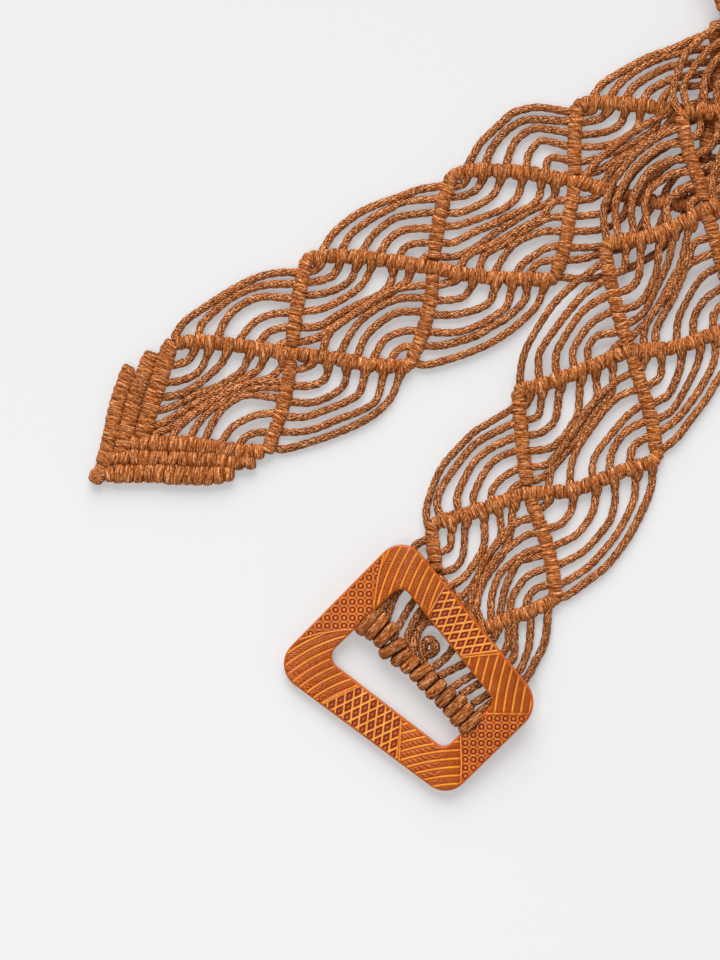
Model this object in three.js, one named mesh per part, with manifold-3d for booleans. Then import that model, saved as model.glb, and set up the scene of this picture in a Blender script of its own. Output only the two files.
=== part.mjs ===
// A knotted waist belt of waxed cord with a slide buckle, lying flat.
// Millimetres, +Z up, the floor at z = 0. The belt is one net of double half hitches: two holding
// cords zigzag from edge to edge as thick bars, and twelve cords run between the bars in arcs.
// Its middle goes once round a flat loop, and the buckle end lies over the pointed end.

import * as THREE from 'three';
import { mergeVertices } from 'three/addons/utils/BufferGeometryUtils.js';
import Module from 'manifold-3d';

const wasm = await Module();
wasm.setup();

// Cord and bars
const CORD = 3.0;
const BAR_WIDTH = 5.6;
const BAR_HEIGHT = 5.4;
const BAR_TOP = 0.62;
const GAP = 0.3;
const CUT_PAST = 1;
const CORD_Z = 0.5 * (BAR_HEIGHT - CORD);

// The net counts its crossings from the pointed end, 0, to the buckle, LAST
const LAST = 16;
const HALF_WIDTH = 29.2;
const LEFT_SHIFT = -8.2;
const RIGHT_SHIFT = 5.2;

// Corners of the net where the belt lies open to view, seen from the pointed end
const POINTED_ARM = [
  { at: 0, left: [-75.2, 54.8], middle: [-27.6, 50.8], right: [-36.8, 11.2] },
  { at: 1, left: [-21.6, 88.4], middle: [29.2, 84.8], right: [19.2, 44.8] },
  { at: 2, left: [36.0, 121.6], middle: [85.6, 119.2], right: [76.8, 80.4] },
  { at: 3, left: [86.8, 149.2], middle: null, right: null },
  { at: 4, left: [142.0, 181.0], middle: null, right: null },
];

// The same seen from the buckle, so that left there is right here
const BUCKLE_ARM = [
  { at: 0, left: null, middle: [28.8, -67.2], right: null },
  { at: 1, left: [28.4, -20.0], middle: [67.2, -4.8], right: [78.0, -44.8] },
  { at: 2, left: [62.8, 34.8], middle: [108.0, 52.8], right: [118.8, 11.6] },
  { at: 3, left: [98.0, 93.6], middle: [136.8, 107.2], right: [156.8, 62.0] },
  { at: 4, left: [128.0, 144.4], middle: null, right: null },
  { at: 5, left: [146.0, 190.0], middle: null, right: null },
];

// The middle of the belt: straight on, a reverse bend, round the loop, a reverse bend, straight
const LOOP = {
  start: [85.6, 119.2],
  startHeading: 31.1,
  end: [136.8, 107.2],
  endHeading: 61,
  centre: [245, 260],
  radius: 84,
  reverse: 80,
};
const OUT_CROSSING = 2;
const BACK_CROSSING = LAST - 3;

// The buckle end rises over the pointed end
const LIFT = BAR_HEIGHT + GAP;
const LIFT_FLAT = 37;
const LIFT_FALL = 38;
const LIFT_FIRST = 9;
const LIFT_UNDER = 6;

// Arcs of cord: places along a bar from its edge corner, 0, to its crossing, 1
const EDGE_GAPS = [
  { from: 0.2, to: 0.42 },
  { from: 0.57, to: 0.82 },
];
const DIAMOND_GAPS = [
  { from: 0.24, to: 0.42 },
  { from: 0.54, to: 0.7 },
];
const LOOP_DIAMOND_GAPS = [{ from: 0.28, to: 0.6 }];
const LOOP_DIAMONDS = { first: 5, last: 11 };
const LEAD_GAPS = [
  { from: 0.24, to: 0.4 },
  { from: 0.6, to: 0.76 },
];
const LEAD_SPANS = { right: { from: 0.03, to: 0.47 }, left: { from: 0.97, to: 0.53 } };
const INSET = 0.9;
const START_CLEAR = 6.5;
const EDGE_CORD = 0.04;
const EDGE_REACH = 18;
const REACH_END = 1.05;
const DIAMOND_REACH = 15;
const ARC_STEPS = { edge: 3, diamond: 2, outline: 4 };

// The point: three nested rows of knots on each side
const POINT_ROWS = [
  [[-102.0, 5.5], [-98.0, 26.8], [-91.5, 45.0]],
  [[-94.6, 13.4], [-84.2, 50.5]],
  [[-87.0, 18.6], [-80.4, 42.0], [-75.2, 54.8]],
  [[-103.6, 2.4], [-51.6, 2.8]],
  [[-98.0, 8.9], [-56.0, 9.2], [-42.0, 7.2]],
  [[-91.0, 15.6], [-60.0, 14.6], [-36.8, 11.2]],
];
const ROW_WIDTH = 6.4;
const KNOB = { at: [-104.8, 2.2], radius: 4.0, around: 8, down: 6 };
const ROW_OVERLAP = 1.4;
const POINT_APEX = [-87.6, 18.4];

// The buckle: an uneven four-sided frame, its corners in order top, right, bottom, left
const FRAME_CORNERS = [
  { outer: [17.6, -20.4], outerRadius: 10, inner: [17.0, -41.1], innerRadius: 4 },
  { outer: [73.6, -88.8], outerRadius: 12, inner: [54.3, -87.8], innerRadius: 4 },
  { outer: [35.2, -126.8], outerRadius: 10, inner: [33.9, -107.0], innerRadius: 4 },
  { outer: [-35.6, -74.4], outerRadius: 10.5, inner: [-13.6, -70.6], innerRadius: 5 },
];
const FRAME_THICK = 4.0;
const ARC_POINTS = { outer: 5, inner: 3 };
const FRAME_EDGE = 0.6;
const RELIEF = 0.5;
const RELIEF_ROOT = 0.3;
const RIB_REACH = 26;
const RIB_PART = 0.7;
const CELL_HALF = 0.4;
const STUD = { top: 0.8, foot: 1.1, sides: 4, shift: 0.25 };
const BAR_ENDS = { from: [-2.4, -52.4], to: [46.8, -102.6] };
const CENTRE_BAR = { width: 4.0, height: 3.0, lift: 0.4 };
const TILT = 6;
const TILT_EDGE = [-26.8, -80.8];

// Wraps of cord round the centre bar
const WRAPS = {
  count: 14,
  from: [2.2, -57.0],
  to: [42.2, -97.8],
  width: 7.6,
  shell: 1.9,
  top: 0.8,
  part: 0.34,
  groove: 0.5,
};

const CORD_COLOUR = 0xa8622f;
const CORD_DARK = 0x985628;
const BUCKLE_COLOUR = 0xc4641a;
const CORD_ROUGHNESS = 0.75;
const BUCKLE_ROUGHNESS = 0.3;

// Plane vectors
const vec = (p) => new THREE.Vector2(p[0], p[1]);
const lerp = (a, b, t) => a.clone().lerp(b, t);
const along = (a, dir, k) => a.clone().addScaledVector(dir, k);
const unitTo = (a, b) => b.clone().sub(a).normalize();
const across = (d) => new THREE.Vector2(-d.y, d.x);
const facing = (n, towards) => (n.dot(towards) < 0 ? n.negate() : n);
const headingVector = (angle) => new THREE.Vector2(Math.cos(angle), Math.sin(angle));
const radians = THREE.MathUtils.degToRad;

// Solids
function toSolid(geometry) {
  const bare = geometry.index ? geometry.toNonIndexed() : geometry.clone();
  for (const name of Object.keys(bare.attributes)) {
    if (name !== 'position') {
      bare.deleteAttribute(name);
    }
  }
  const merged = mergeVertices(bare, 1e-4);
  const mesh = new wasm.Mesh({
    numProp: 3,
    vertProperties: new Float32Array(merged.attributes.position.array),
    triVerts: new Uint32Array(merged.index.array),
  });
  return new wasm.Manifold(mesh);
}

function toGeometry(solid) {
  const mesh = solid.getMesh();
  const geometry = new THREE.BufferGeometry();
  geometry.setAttribute('position', new THREE.BufferAttribute(new Float32Array(mesh.vertProperties), 3));
  geometry.setIndex(new THREE.BufferAttribute(new Uint32Array(mesh.triVerts), 1));
  geometry.computeVertexNormals();
  return geometry;
}

const join = (solids) => solids.reduce((all, one) => all.add(one));

function slab(outline, z, thick) {
  const shape = new THREE.Shape(outline);
  const geometry = new THREE.ExtrudeGeometry(shape, { depth: thick, bevelEnabled: false });
  geometry.translate(0, 0, z);
  return toSolid(geometry);
}

// A flat plate with holes that are cut a little past its faces
function plate(outline, holes, z, thick) {
  const whole = slab(outline, z, thick);
  if (holes.length === 0) {
    return whole;
  }
  return whole.subtract(join(holes.map((hole) => slab(hole, z - CUT_PAST, thick + 2 * CUT_PAST))));
}

// A straight bar from a to b, flat above and below, its sides sloping in towards the top
function bar(a, b, { width = BAR_WIDTH, height = BAR_HEIGHT, z = 0, steps = 1, top = BAR_TOP } = {}) {
  const half = width / 2;
  const section = new THREE.Shape([
    new THREE.Vector2(-half, 0),
    new THREE.Vector2(half, 0),
    new THREE.Vector2(half * top, height),
    new THREE.Vector2(-half * top, height),
  ]);
  const geometry = new THREE.ExtrudeGeometry(section, { depth: a.distanceTo(b), steps, bevelEnabled: false });
  const run = unitTo(a, b);
  const forward = new THREE.Vector3(run.x, run.y, 0);
  const up = new THREE.Vector3(0, 0, 1);
  const side = new THREE.Vector3().crossVectors(up, forward);
  const place = new THREE.Matrix4().makeBasis(side, up, forward).setPosition(a.x, a.y, z);
  geometry.applyMatrix4(place);
  return toSolid(geometry);
}

function barAlong(points, options) {
  const parts = [];
  for (let i = 0; i + 1 < points.length; i += 1) {
    const run = unitTo(points[i], points[i + 1]);
    const back = i === 0 ? 0 : ROW_OVERLAP;
    const on = i + 2 === points.length ? 0 : ROW_OVERLAP;
    parts.push(bar(along(points[i], run, -back), along(points[i + 1], run, on), options));
  }
  return join(parts);
}

// The centreline of the loop, as stretches of constant bend
function reverseBend(point, heading, side) {
  const run = headingVector(radians(heading));
  const aside = across(run).multiplyScalar(side);
  const towards = vec(LOOP.centre).sub(point);
  const span = LOOP.radius + LOOP.reverse;
  const clear = towards.dot(aside) + LOOP.reverse;
  const straight = towards.dot(run) - Math.sqrt(span * span - clear * clear);
  return { straight, turn: 90 - THREE.MathUtils.radToDeg(Math.asin(clear / span)) };
}

function loopStretches() {
  const out = reverseBend(vec(LOOP.start), LOOP.startHeading, 1);
  const back = reverseBend(vec(LOOP.end), LOOP.endHeading, -1);
  const round = 180 + LOOP.endHeading - LOOP.startHeading + out.turn + back.turn;
  return [
    { length: out.straight, turn: 0 },
    { length: LOOP.reverse * radians(out.turn), turn: -out.turn },
    { length: LOOP.radius * radians(round), turn: round },
    { length: LOOP.reverse * radians(back.turn), turn: -back.turn },
    { length: back.straight, turn: 0 },
  ];
}

function loopPlace(stretches, station) {
  let point = vec(LOOP.start);
  let heading = radians(LOOP.startHeading);
  let left = station;
  for (const stretch of stretches) {
    const part = Math.min(left, stretch.length);
    const bend = radians(stretch.turn) * (part / stretch.length);
    if (stretch.turn === 0) {
      point = along(point, headingVector(heading), part);
    } else {
      const radius = stretch.length / radians(stretch.turn);
      const centre = along(point, across(headingVector(heading)), radius);
      point = along(centre, across(headingVector(heading + bend)), -radius);
    }
    heading += bend;
    left -= part;
    if (left <= 0) {
      break;
    }
  }
  return { point, heading };
}

// Corners of the whole net: left edge, right edge and the crossings on the middle line
function netCorners() {
  const corners = { left: [], middle: [], right: [] };
  const stretches = loopStretches();
  const total = stretches.reduce((sum, stretch) => sum + stretch.length, 0);
  const period = total / (BACK_CROSSING - OUT_CROSSING);
  for (let i = OUT_CROSSING; i <= BACK_CROSSING; i += 1) {
    const station = (i - OUT_CROSSING) * period;
    corners.middle[i] = loopPlace(stretches, station).point;
    for (const [name, shift, side] of [['left', LEFT_SHIFT, 1], ['right', RIGHT_SHIFT, -1]]) {
      const place = loopPlace(stretches, Math.max(station - period / 2 + shift, 0));
      corners[name][i] = along(place.point, across(headingVector(place.heading)), side * HALF_WIDTH);
    }
  }
  for (const row of POINTED_ARM) {
    for (const name of ['left', 'middle', 'right']) {
      if (row[name]) {
        corners[name][row.at] = vec(row[name]);
      }
    }
  }
  for (const row of BUCKLE_ARM) {
    if (row.middle) {
      corners.middle[LAST - row.at] = vec(row.middle);
    }
    if (row.left) {
      corners.right[LAST - row.at + 1] = vec(row.left);
    }
    if (row.right) {
      corners.left[LAST - row.at + 1] = vec(row.right);
    }
  }
  return corners;
}

const NET = netCorners();

// A cord between two bars leaves each of them squarely; place runs from the corners to the crossings
function cordArc(corner1, crossing1, corner2, crossing2, place, reach, points, inset = 0) {
  const foot1 = lerp(corner1, crossing1, place);
  const foot2 = lerp(corner2, crossing2, place);
  const chord = foot2.clone().sub(foot1);
  const out1 = facing(across(unitTo(corner1, crossing1)), chord);
  const out2 = facing(across(unitTo(corner2, crossing2)), chord.clone().negate());
  const start = along(foot1, out1, inset);
  const end = along(foot2, out2, inset);
  const curve = new THREE.CubicBezierCurve(start, along(foot1, out1, reach), along(foot2, out2, reach), end);
  return curve.getPoints(points);
}

// Arcs in the triangle beside crossing i, from the edge corner i to the next one
function edgeArc(i, side, place, points, inset) {
  const edge = NET[side];
  const reach = EDGE_REACH * (REACH_END - place);
  return cordArc(edge[i], NET.middle[i], edge[i + 1], NET.middle[i], place, reach, points, inset);
}

// Arcs in the diamond below crossing i, round its edge corner
function diamondArc(i, side, place, points, inset) {
  const corner = NET[side][i];
  const before = i === 0 ? POINT_APEX_CORNER : NET.middle[i - 1];
  return cordArc(corner, before, corner, NET.middle[i], place, DIAMOND_REACH * place, points, inset);
}

const POINT_APEX_CORNER = vec(POINT_APEX);

function gapOutline(arc, i, side, gap, points) {
  const near = arc(i, side, gap.from, points, INSET);
  const far = arc(i, side, gap.to, points, INSET);
  return near.concat(far.reverse());
}

function netGaps(first, last) {
  const gaps = [];
  for (let i = first; i <= last; i += 1) {
    for (const side of ['left', 'right']) {
      if (i < LAST) {
        EDGE_GAPS.forEach((gap) => gaps.push(gapOutline(edgeArc, i, side, gap, ARC_STEPS.edge)));
      }
      const inLoop = i >= LOOP_DIAMONDS.first && i <= LOOP_DIAMONDS.last;
      const diamondGaps = inLoop ? LOOP_DIAMOND_GAPS : DIAMOND_GAPS;
      diamondGaps.forEach((gap) => gaps.push(gapOutline(diamondArc, i, side, gap, ARC_STEPS.diamond)));
    }
  }
  return gaps;
}

function edgeLine(first, last, side) {
  const line = [];
  for (let i = first; i <= last; i += 1) {
    line.push(NET[side][i].clone());
    if (i < LAST) {
      line.push(...edgeArc(i, side, EDGE_CORD, ARC_STEPS.outline, INSET));
    }
  }
  return line;
}

function crossingBars(i, options) {
  const bars = [];
  for (const side of ['left', 'right']) {
    bars.push(bar(NET[side][i], NET.middle[i], options));
    if (i < LAST) {
      bars.push(bar(NET[side][i + 1], NET.middle[i], options));
    }
  }
  return bars;
}

// A stretch of the net from diamond first to crossing last
function netStretch(first, last) {
  const left = edgeLine(first, last, 'left');
  const right = edgeLine(first, last, 'right').reverse();
  const end = last < LAST ? [NET.left[last + 1], NET.middle[last], NET.right[last + 1]] : [NET.middle[last]];
  const before = first === 0 ? POINT_APEX_CORNER : NET.middle[first - 1];
  const start = along(before, unitTo(before, NET.middle[first]), START_CLEAR);
  const outline = [start, ...left, ...end.map((p) => p.clone()), ...right];
  let solid = plate(outline, netGaps(first, last), CORD_Z, CORD);
  if (last === LAST) {
    solid = join([solid, leadFan('right', LEAD_SPANS.right), leadFan('left', LEAD_SPANS.left)]);
  }
  for (let i = first; i <= last; i += 1) {
    solid = solid.add(join(crossingBars(i, { steps: first < LIFT_FIRST ? 1 : 2 })));
  }
  return solid;
}

// Room round the bars of the stretch before
function barRoom(i) {
  const wide = { width: BAR_WIDTH + 2 * GAP, height: BAR_HEIGHT + 2 * GAP, z: -GAP, top: 1 };
  const bars = [];
  for (const side of ['left', 'right']) {
    const run = unitTo(NET.middle[i], NET[side][i + 1]);
    bars.push(bar(NET.middle[i], along(NET[side][i + 1], run, GAP), wide));
  }
  return join(bars);
}

function moveVertices(geometry, move) {
  const position = geometry.attributes.position;
  const point = new THREE.Vector3();
  for (let i = 0; i < position.count; i += 1) {
    move(point.fromBufferAttribute(position, i));
    position.setXYZ(i, point.x, point.y, point.z);
  }
  geometry.computeVertexNormals();
  return geometry;
}

// The buckle end lies over the pointed end and comes down beside it
const UNDER = NET.middle.slice(0, LIFT_UNDER);

function liftAt(x, y) {
  const place = new THREE.Vector2(x, y);
  let nearest = Infinity;
  for (let i = 0; i + 1 < UNDER.length; i += 1) {
    const run = UNDER[i + 1].clone().sub(UNDER[i]);
    const t = THREE.MathUtils.clamp(place.clone().sub(UNDER[i]).dot(run) / run.lengthSq(), 0, 1);
    nearest = Math.min(nearest, place.distanceTo(along(UNDER[i], run, t)));
  }
  return LIFT * (1 - THREE.MathUtils.smoothstep(nearest, LIFT_FLAT, LIFT_FLAT + LIFT_FALL));
}

const liftOver = (geometry) => moveVertices(geometry, (point) => {
  point.z += liftAt(point.x, point.y);
});

// The point, its rows joined where they meet, and the knob that ends the holding cords
function pointSolid() {
  const rows = POINT_ROWS.map((row) => barAlong(row.map(vec), { width: ROW_WIDTH }));
  const knob = new THREE.SphereGeometry(KNOB.radius, KNOB.around, KNOB.down);
  knob.rotateX(Math.PI / 2);
  knob.scale(1, 1, BAR_HEIGHT / (2 * KNOB.radius));
  knob.translate(KNOB.at[0], KNOB.at[1], BAR_HEIGHT / 2);
  return join(rows).add(toSolid(knob));
}

// Cords from the last bars to the wraps on the buckle, a fan on each side of the last crossing
function leadFan(side, { from, to }) {
  const wrapsRun = unitTo(vec(WRAPS.from), vec(WRAPS.to));
  const clear = across(wrapsRun).multiplyScalar(WRAPS.width / 2 + GAP);
  const wrapAt = (k) => lerp(vec(WRAPS.from), vec(WRAPS.to), from + (to - from) * k).add(clear);
  const barAt = (k) => lerp(NET[side][LAST], NET.middle[LAST], k);
  const strip = (k1, k2) => [wrapAt(k1), barAt(k1), barAt(k2), wrapAt(k2)];
  return plate(strip(0, 1), LEAD_GAPS.map((gap) => strip(gap.from, gap.to)), CORD_Z, CORD);
}

// Rounded outlines
function roundedOutline(corners, arcPoints, inset) {
  const outline = [];
  const count = corners.length;
  corners.forEach((corner, i) => {
    const before = corners[(i + count - 1) % count].point;
    const after = corners[(i + 1) % count].point;
    const in1 = unitTo(corner.point, before);
    const in2 = unitTo(corner.point, after);
    const half = Math.acos(THREE.MathUtils.clamp(in1.dot(in2), -1, 1)) / 2;
    const centre = along(corner.point, in1.clone().add(in2).normalize(), corner.radius / Math.sin(half));
    const from = along(corner.point, in1, corner.radius / Math.tan(half)).sub(centre);
    from.multiplyScalar((corner.radius - inset) / corner.radius);
    const sweep = Math.PI - 2 * half;
    const turn = Math.sign(in1.clone().negate().cross(in2)) || 1;
    for (let k = 0; k <= arcPoints; k += 1) {
      const ray = from.clone().rotateAround(new THREE.Vector2(), (turn * sweep * k) / arcPoints);
      outline.push(centre.clone().add(ray));
    }
  });
  return outline;
}

function frameOutline(name, arcPoints, inset) {
  const corners = FRAME_CORNERS.map((corner) => {
    const radius = corner[`${name}Radius`];
    return { point: vec(corner[name]), radius };
  });
  return roundedOutline(corners, arcPoints, inset);
}

// The frame, its outer and inner edges stepped back above and below
function framePlate(step, z, thick) {
  const outer = frameOutline('outer', ARC_POINTS.outer, step);
  return plate(outer, [frameOutline('inner', ARC_POINTS.inner, -step)], z, thick);
}

function frameSolid() {
  const middle = framePlate(0, FRAME_EDGE, FRAME_THICK - 2 * FRAME_EDGE);
  return middle.add(framePlate(FRAME_EDGE, 0, FRAME_THICK));
}

// Relief on the frame, in zones: ribs, a lattice and round studs
const RIB_ZONES = [
  {
    zone: [[-28, -63.5], [-8, -60.5], [-2, -82], [-14, -89.5], [-30, -82], [-32, -70]],
    angle: 17,
    pitch: 3.4,
  },
  {
    zone: [[6, -33], [7, -50], [29, -54], [36, -42], [24, -28], [12, -26]],
    angle: 66,
    pitch: 3.6,
  },
  {
    zone: [[42, -70], [57, -68.5], [69, -82], [68, -92.5], [52, -92], [48, -82]],
    angle: 80,
    pitch: 3.5,
  },
  {
    zone: [[17, -94.5], [15.6, -110], [30, -122], [39, -121], [40, -102], [33, -103]],
    angle: 14,
    pitch: 3.3,
  },
];
const LATTICE_ZONES = [
  { corner: [-13.2, -88.4], along: [29.6, -22.0], across: [11.6, 5.2], cells: 6, rows: 3 },
  { corner: [29.6, -53.4], along: [13.2, -16.2], across: [9.6, 5.6], cells: 4, rows: 3 },
];
const STUD_ZONES = [
  { corner: [-22.6, -61.4], along: [27.0, 26.5], across: [9.6, -6.4], count: 11, rows: 4 },
  { corner: [44.4, -118.0], along: [20.6, 21.0], across: [-7.0, 6.6], count: 8, rows: 4 },
];

// A ridge from a to b on the frame's face
function ridge(a, b, width) {
  const section = new THREE.Shape([
    new THREE.Vector2(-width / 2, -RELIEF_ROOT),
    new THREE.Vector2(width / 2, -RELIEF_ROOT),
    new THREE.Vector2(0, RELIEF),
  ]);
  const geometry = new THREE.ExtrudeGeometry(section, { depth: a.distanceTo(b), bevelEnabled: false });
  const run = unitTo(a, b);
  const forward = new THREE.Vector3(run.x, run.y, 0);
  const up = new THREE.Vector3(0, 0, 1);
  const side = new THREE.Vector3().crossVectors(up, forward);
  geometry.applyMatrix4(new THREE.Matrix4().makeBasis(side, up, forward).setPosition(a.x, a.y, FRAME_THICK));
  return toSolid(geometry);
}

function ribs({ zone, angle, pitch }) {
  const outline = zone.map(vec);
  const centre = outline.reduce((sum, p) => sum.add(p), new THREE.Vector2()).divideScalar(outline.length);
  const run = headingVector(radians(angle));
  const step = across(run);
  const count = Math.ceil(RIB_REACH / pitch);
  const lines = [];
  for (let k = -count; k <= count; k += 1) {
    const middle = along(centre, step, k * pitch);
    lines.push(ridge(along(middle, run, -RIB_REACH), along(middle, run, RIB_REACH), pitch * RIB_PART));
  }
  return join(lines).intersect(plate(outline, [], 0, 2 * FRAME_THICK));
}

function lattice({ corner, along: long, across: wide, cells, rows }) {
  const start = vec(corner);
  const at = (u, v) => start.clone().addScaledVector(vec(long), u).addScaledVector(vec(wide), v);
  const holes = [];
  for (let i = 0; i < cells; i += 1) {
    for (let j = 0; j < rows; j += 1) {
      const u = (i + 0.5) / cells;
      const v = (j + 0.5) / rows;
      const du = CELL_HALF / cells;
      const dv = CELL_HALF / rows;
      holes.push([at(u - du, v), at(u, v - dv), at(u + du, v), at(u, v + dv)]);
    }
  }
  const outline = [at(0, 0), at(1, 0), at(1, 1), at(0, 1)];
  return plate(outline, holes, FRAME_THICK - RELIEF_ROOT, RELIEF + RELIEF_ROOT);
}

function studs({ corner, along: long, across: wide, count, rows }) {
  const start = vec(corner);
  const parts = [];
  for (let i = 0; i < count; i += 1) {
    for (let j = 0; j < rows; j += 1) {
      const shift = j % 2 === 0 ? STUD.shift : 1 - STUD.shift;
      const point = start.clone().addScaledVector(vec(long), (i + shift) / count);
      point.addScaledVector(vec(wide), (j + 0.5) / rows);
      const stud = new THREE.CylinderGeometry(STUD.top, STUD.foot, RELIEF + RELIEF_ROOT, STUD.sides);
      stud.rotateX(Math.PI / 2);
      stud.translate(point.x, point.y, FRAME_THICK + (RELIEF - RELIEF_ROOT) / 2);
      parts.push(toSolid(stud));
    }
  }
  return join(parts);
}

function buckleSolid() {
  let solid = frameSolid();
  const options = { width: CENTRE_BAR.width, height: CENTRE_BAR.height, z: CENTRE_BAR.lift, top: 1 };
  solid = solid.add(bar(vec(BAR_ENDS.from), vec(BAR_ENDS.to), options));
  const top = framePlate(FRAME_EDGE + RELIEF_ROOT, FRAME_THICK - RELIEF_ROOT, 2 * (RELIEF + RELIEF_ROOT));
  const relief = join([
    ...RIB_ZONES.map(ribs),
    ...LATTICE_ZONES.map(lattice),
    ...STUD_ZONES.map(studs),
  ]);
  return solid.add(relief.intersect(top));
}

// Wraps round the centre bar, side by side, as one ribbed sleeve
function wrapsSolid() {
  const from = vec(WRAPS.from);
  const to = vec(WRAPS.to);
  const run = unitTo(from, to);
  const pitch = from.distanceTo(to) / WRAPS.count;
  const high = CENTRE_BAR.height + 2 * WRAPS.shell;
  const low = CENTRE_BAR.lift - WRAPS.shell;
  const parts = [];
  for (let k = 0; k < WRAPS.count; k += 1) {
    const middle = along(from, run, (k + 0.5) * pitch);
    const profile = { width: WRAPS.width, height: high, z: low, top: WRAPS.top };
    parts.push(bar(along(middle, run, -WRAPS.part * pitch), along(middle, run, WRAPS.part * pitch), profile));
  }
  const core = {
    width: WRAPS.width - 2 * WRAPS.groove,
    height: high - 2 * WRAPS.groove,
    z: low + WRAPS.groove,
    top: WRAPS.top,
  };
  parts.push(bar(from, to, core));
  const room = {
    width: CENTRE_BAR.width + 2 * GAP,
    height: CENTRE_BAR.height + 2 * GAP,
    z: CENTRE_BAR.lift - GAP,
    top: 1,
  };
  return join(parts).subtract(bar(vec(BAR_ENDS.from), vec(BAR_ENDS.to), room));
}

// The buckle rests on its far long side and on the net beneath its near one
function tiltBuckle(geometry) {
  const run = unitTo(vec(BAR_ENDS.from), vec(BAR_ENDS.to));
  const turn = new THREE.Matrix4().makeRotationAxis(new THREE.Vector3(run.x, run.y, 0), radians(TILT));
  const place = new THREE.Matrix4().makeTranslation(TILT_EDGE[0], TILT_EDGE[1], 0);
  place.multiply(turn).multiply(new THREE.Matrix4().makeTranslation(-TILT_EDGE[0], -TILT_EDGE[1], 0));
  return geometry.applyMatrix4(place);
}

const part = new THREE.Group();

function addPiece(name, geometry, colour, roughness) {
  const material = new THREE.MeshStandardMaterial({ color: colour, roughness, metalness: 0 });
  const mesh = new THREE.Mesh(geometry, material);
  mesh.name = name;
  part.add(mesh);
}

const STRETCHES = [
  { name: 'net_pointed_arm', first: 0, last: 3 },
  { name: 'net_loop_start', first: 4, last: 6 },
  { name: 'net_loop_middle', first: 7, last: 9 },
  { name: 'net_loop_end', first: 10, last: 12 },
  { name: 'net_buckle_arm', first: 13, last: LAST },
];

const pointRoom = join(
  POINT_ROWS.map((row) => barAlong(row.map(vec), {
    width: ROW_WIDTH + 2 * GAP,
    height: BAR_HEIGHT + 2 * GAP,
    z: -GAP,
    top: 1,
  })),
);

addPiece('point_rows', toGeometry(pointSolid()), CORD_COLOUR, CORD_ROUGHNESS);
STRETCHES.forEach((stretch, index) => {
  const room = stretch.first === 0 ? pointRoom : barRoom(stretch.first - 1);
  const flat = toGeometry(netStretch(stretch.first, stretch.last).subtract(room));
  const geometry = stretch.first < LIFT_FIRST ? flat : liftOver(flat);
  addPiece(stretch.name, geometry, index % 2 ? CORD_DARK : CORD_COLOUR, CORD_ROUGHNESS);
});
addPiece('bar_wraps', tiltBuckle(toGeometry(wrapsSolid())), CORD_DARK, CORD_ROUGHNESS);
addPiece('slide_buckle', tiltBuckle(toGeometry(buckleSolid())), BUCKLE_COLOUR, BUCKLE_ROUGHNESS);

// The origin is the middle of the belt's box, on the floor
const box = new THREE.Box3().setFromObject(part);
const middle = box.getCenter(new THREE.Vector3());
part.position.set(-middle.x, -middle.y, -box.min.z);

export default part;
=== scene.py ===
"""A knotted waist belt of waxed cord with a slide buckle, lying flat, seen straight from above.

The belt is laid out in millimetres with its own zero under the camera, and placed in the frame
at the end. Places named px are points of the picture, 0.4 mm each.
"""

import functools
import math
import random

import bpy
import numpy as np
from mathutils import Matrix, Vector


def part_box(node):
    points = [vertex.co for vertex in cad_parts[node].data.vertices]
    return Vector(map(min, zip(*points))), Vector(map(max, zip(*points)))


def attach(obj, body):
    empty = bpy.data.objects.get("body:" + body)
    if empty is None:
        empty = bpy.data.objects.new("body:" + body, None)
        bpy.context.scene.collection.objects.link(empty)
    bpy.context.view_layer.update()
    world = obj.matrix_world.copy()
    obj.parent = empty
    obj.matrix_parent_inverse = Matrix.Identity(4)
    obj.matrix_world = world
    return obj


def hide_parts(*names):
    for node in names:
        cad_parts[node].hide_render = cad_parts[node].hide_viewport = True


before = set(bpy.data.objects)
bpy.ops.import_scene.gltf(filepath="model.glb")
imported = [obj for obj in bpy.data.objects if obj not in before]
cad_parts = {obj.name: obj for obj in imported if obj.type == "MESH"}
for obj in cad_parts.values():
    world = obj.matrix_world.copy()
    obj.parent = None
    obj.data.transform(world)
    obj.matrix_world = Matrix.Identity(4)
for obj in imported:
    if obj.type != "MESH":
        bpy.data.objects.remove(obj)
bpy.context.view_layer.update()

MM = 0.001
PX = 0.4
PICTURE = (720, 960)

# The lowest corner of the point as laid out here, and the way from here to the frame
POINT_LOW = (-108.8, -1.8)
SHIFT = np.append(np.array(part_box("point_rows")[0][:2]) / MM - POINT_LOW, 0)

# Cord: half its thickness, and the ridges that its strands make along it
CORD = 1.5
SIDES = 12
COARSE_SIDES = 8
STRAND_DEPTH = 0.075
STRAND_TURN = 1 / 26

# A wrap, one turn of cord round a bar
WRAP_THICK = 1.1
WRAP_UP = 1.6
WRAP_DOWN = 1.38
WRAP_SQUARE = 0.85
WRAP_STRAND_DEPTH = 0.06
WRAP_STRETCH = 0.35
# Steps round the bar and sides of the cord, in sight and out of sight
WRAP_DETAIL = {True: (16, 16), False: (12, COARSE_SIDES)}

# A bar's holding cord, and the cords hitched on each of its halves
BAR_CORE = 1.5
BAR_MIDDLE = 2.75
HITCHES = 6

# The net counts its crossings from the pointed end, 0, to the buckle, LAST
LAST = 16
HALF_WIDTH = 29.2
LEFT_SHIFT = -8.2
RIGHT_SHIFT = 5.2
OUT_CROSSING = 2
BACK_CROSSING = 13

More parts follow.
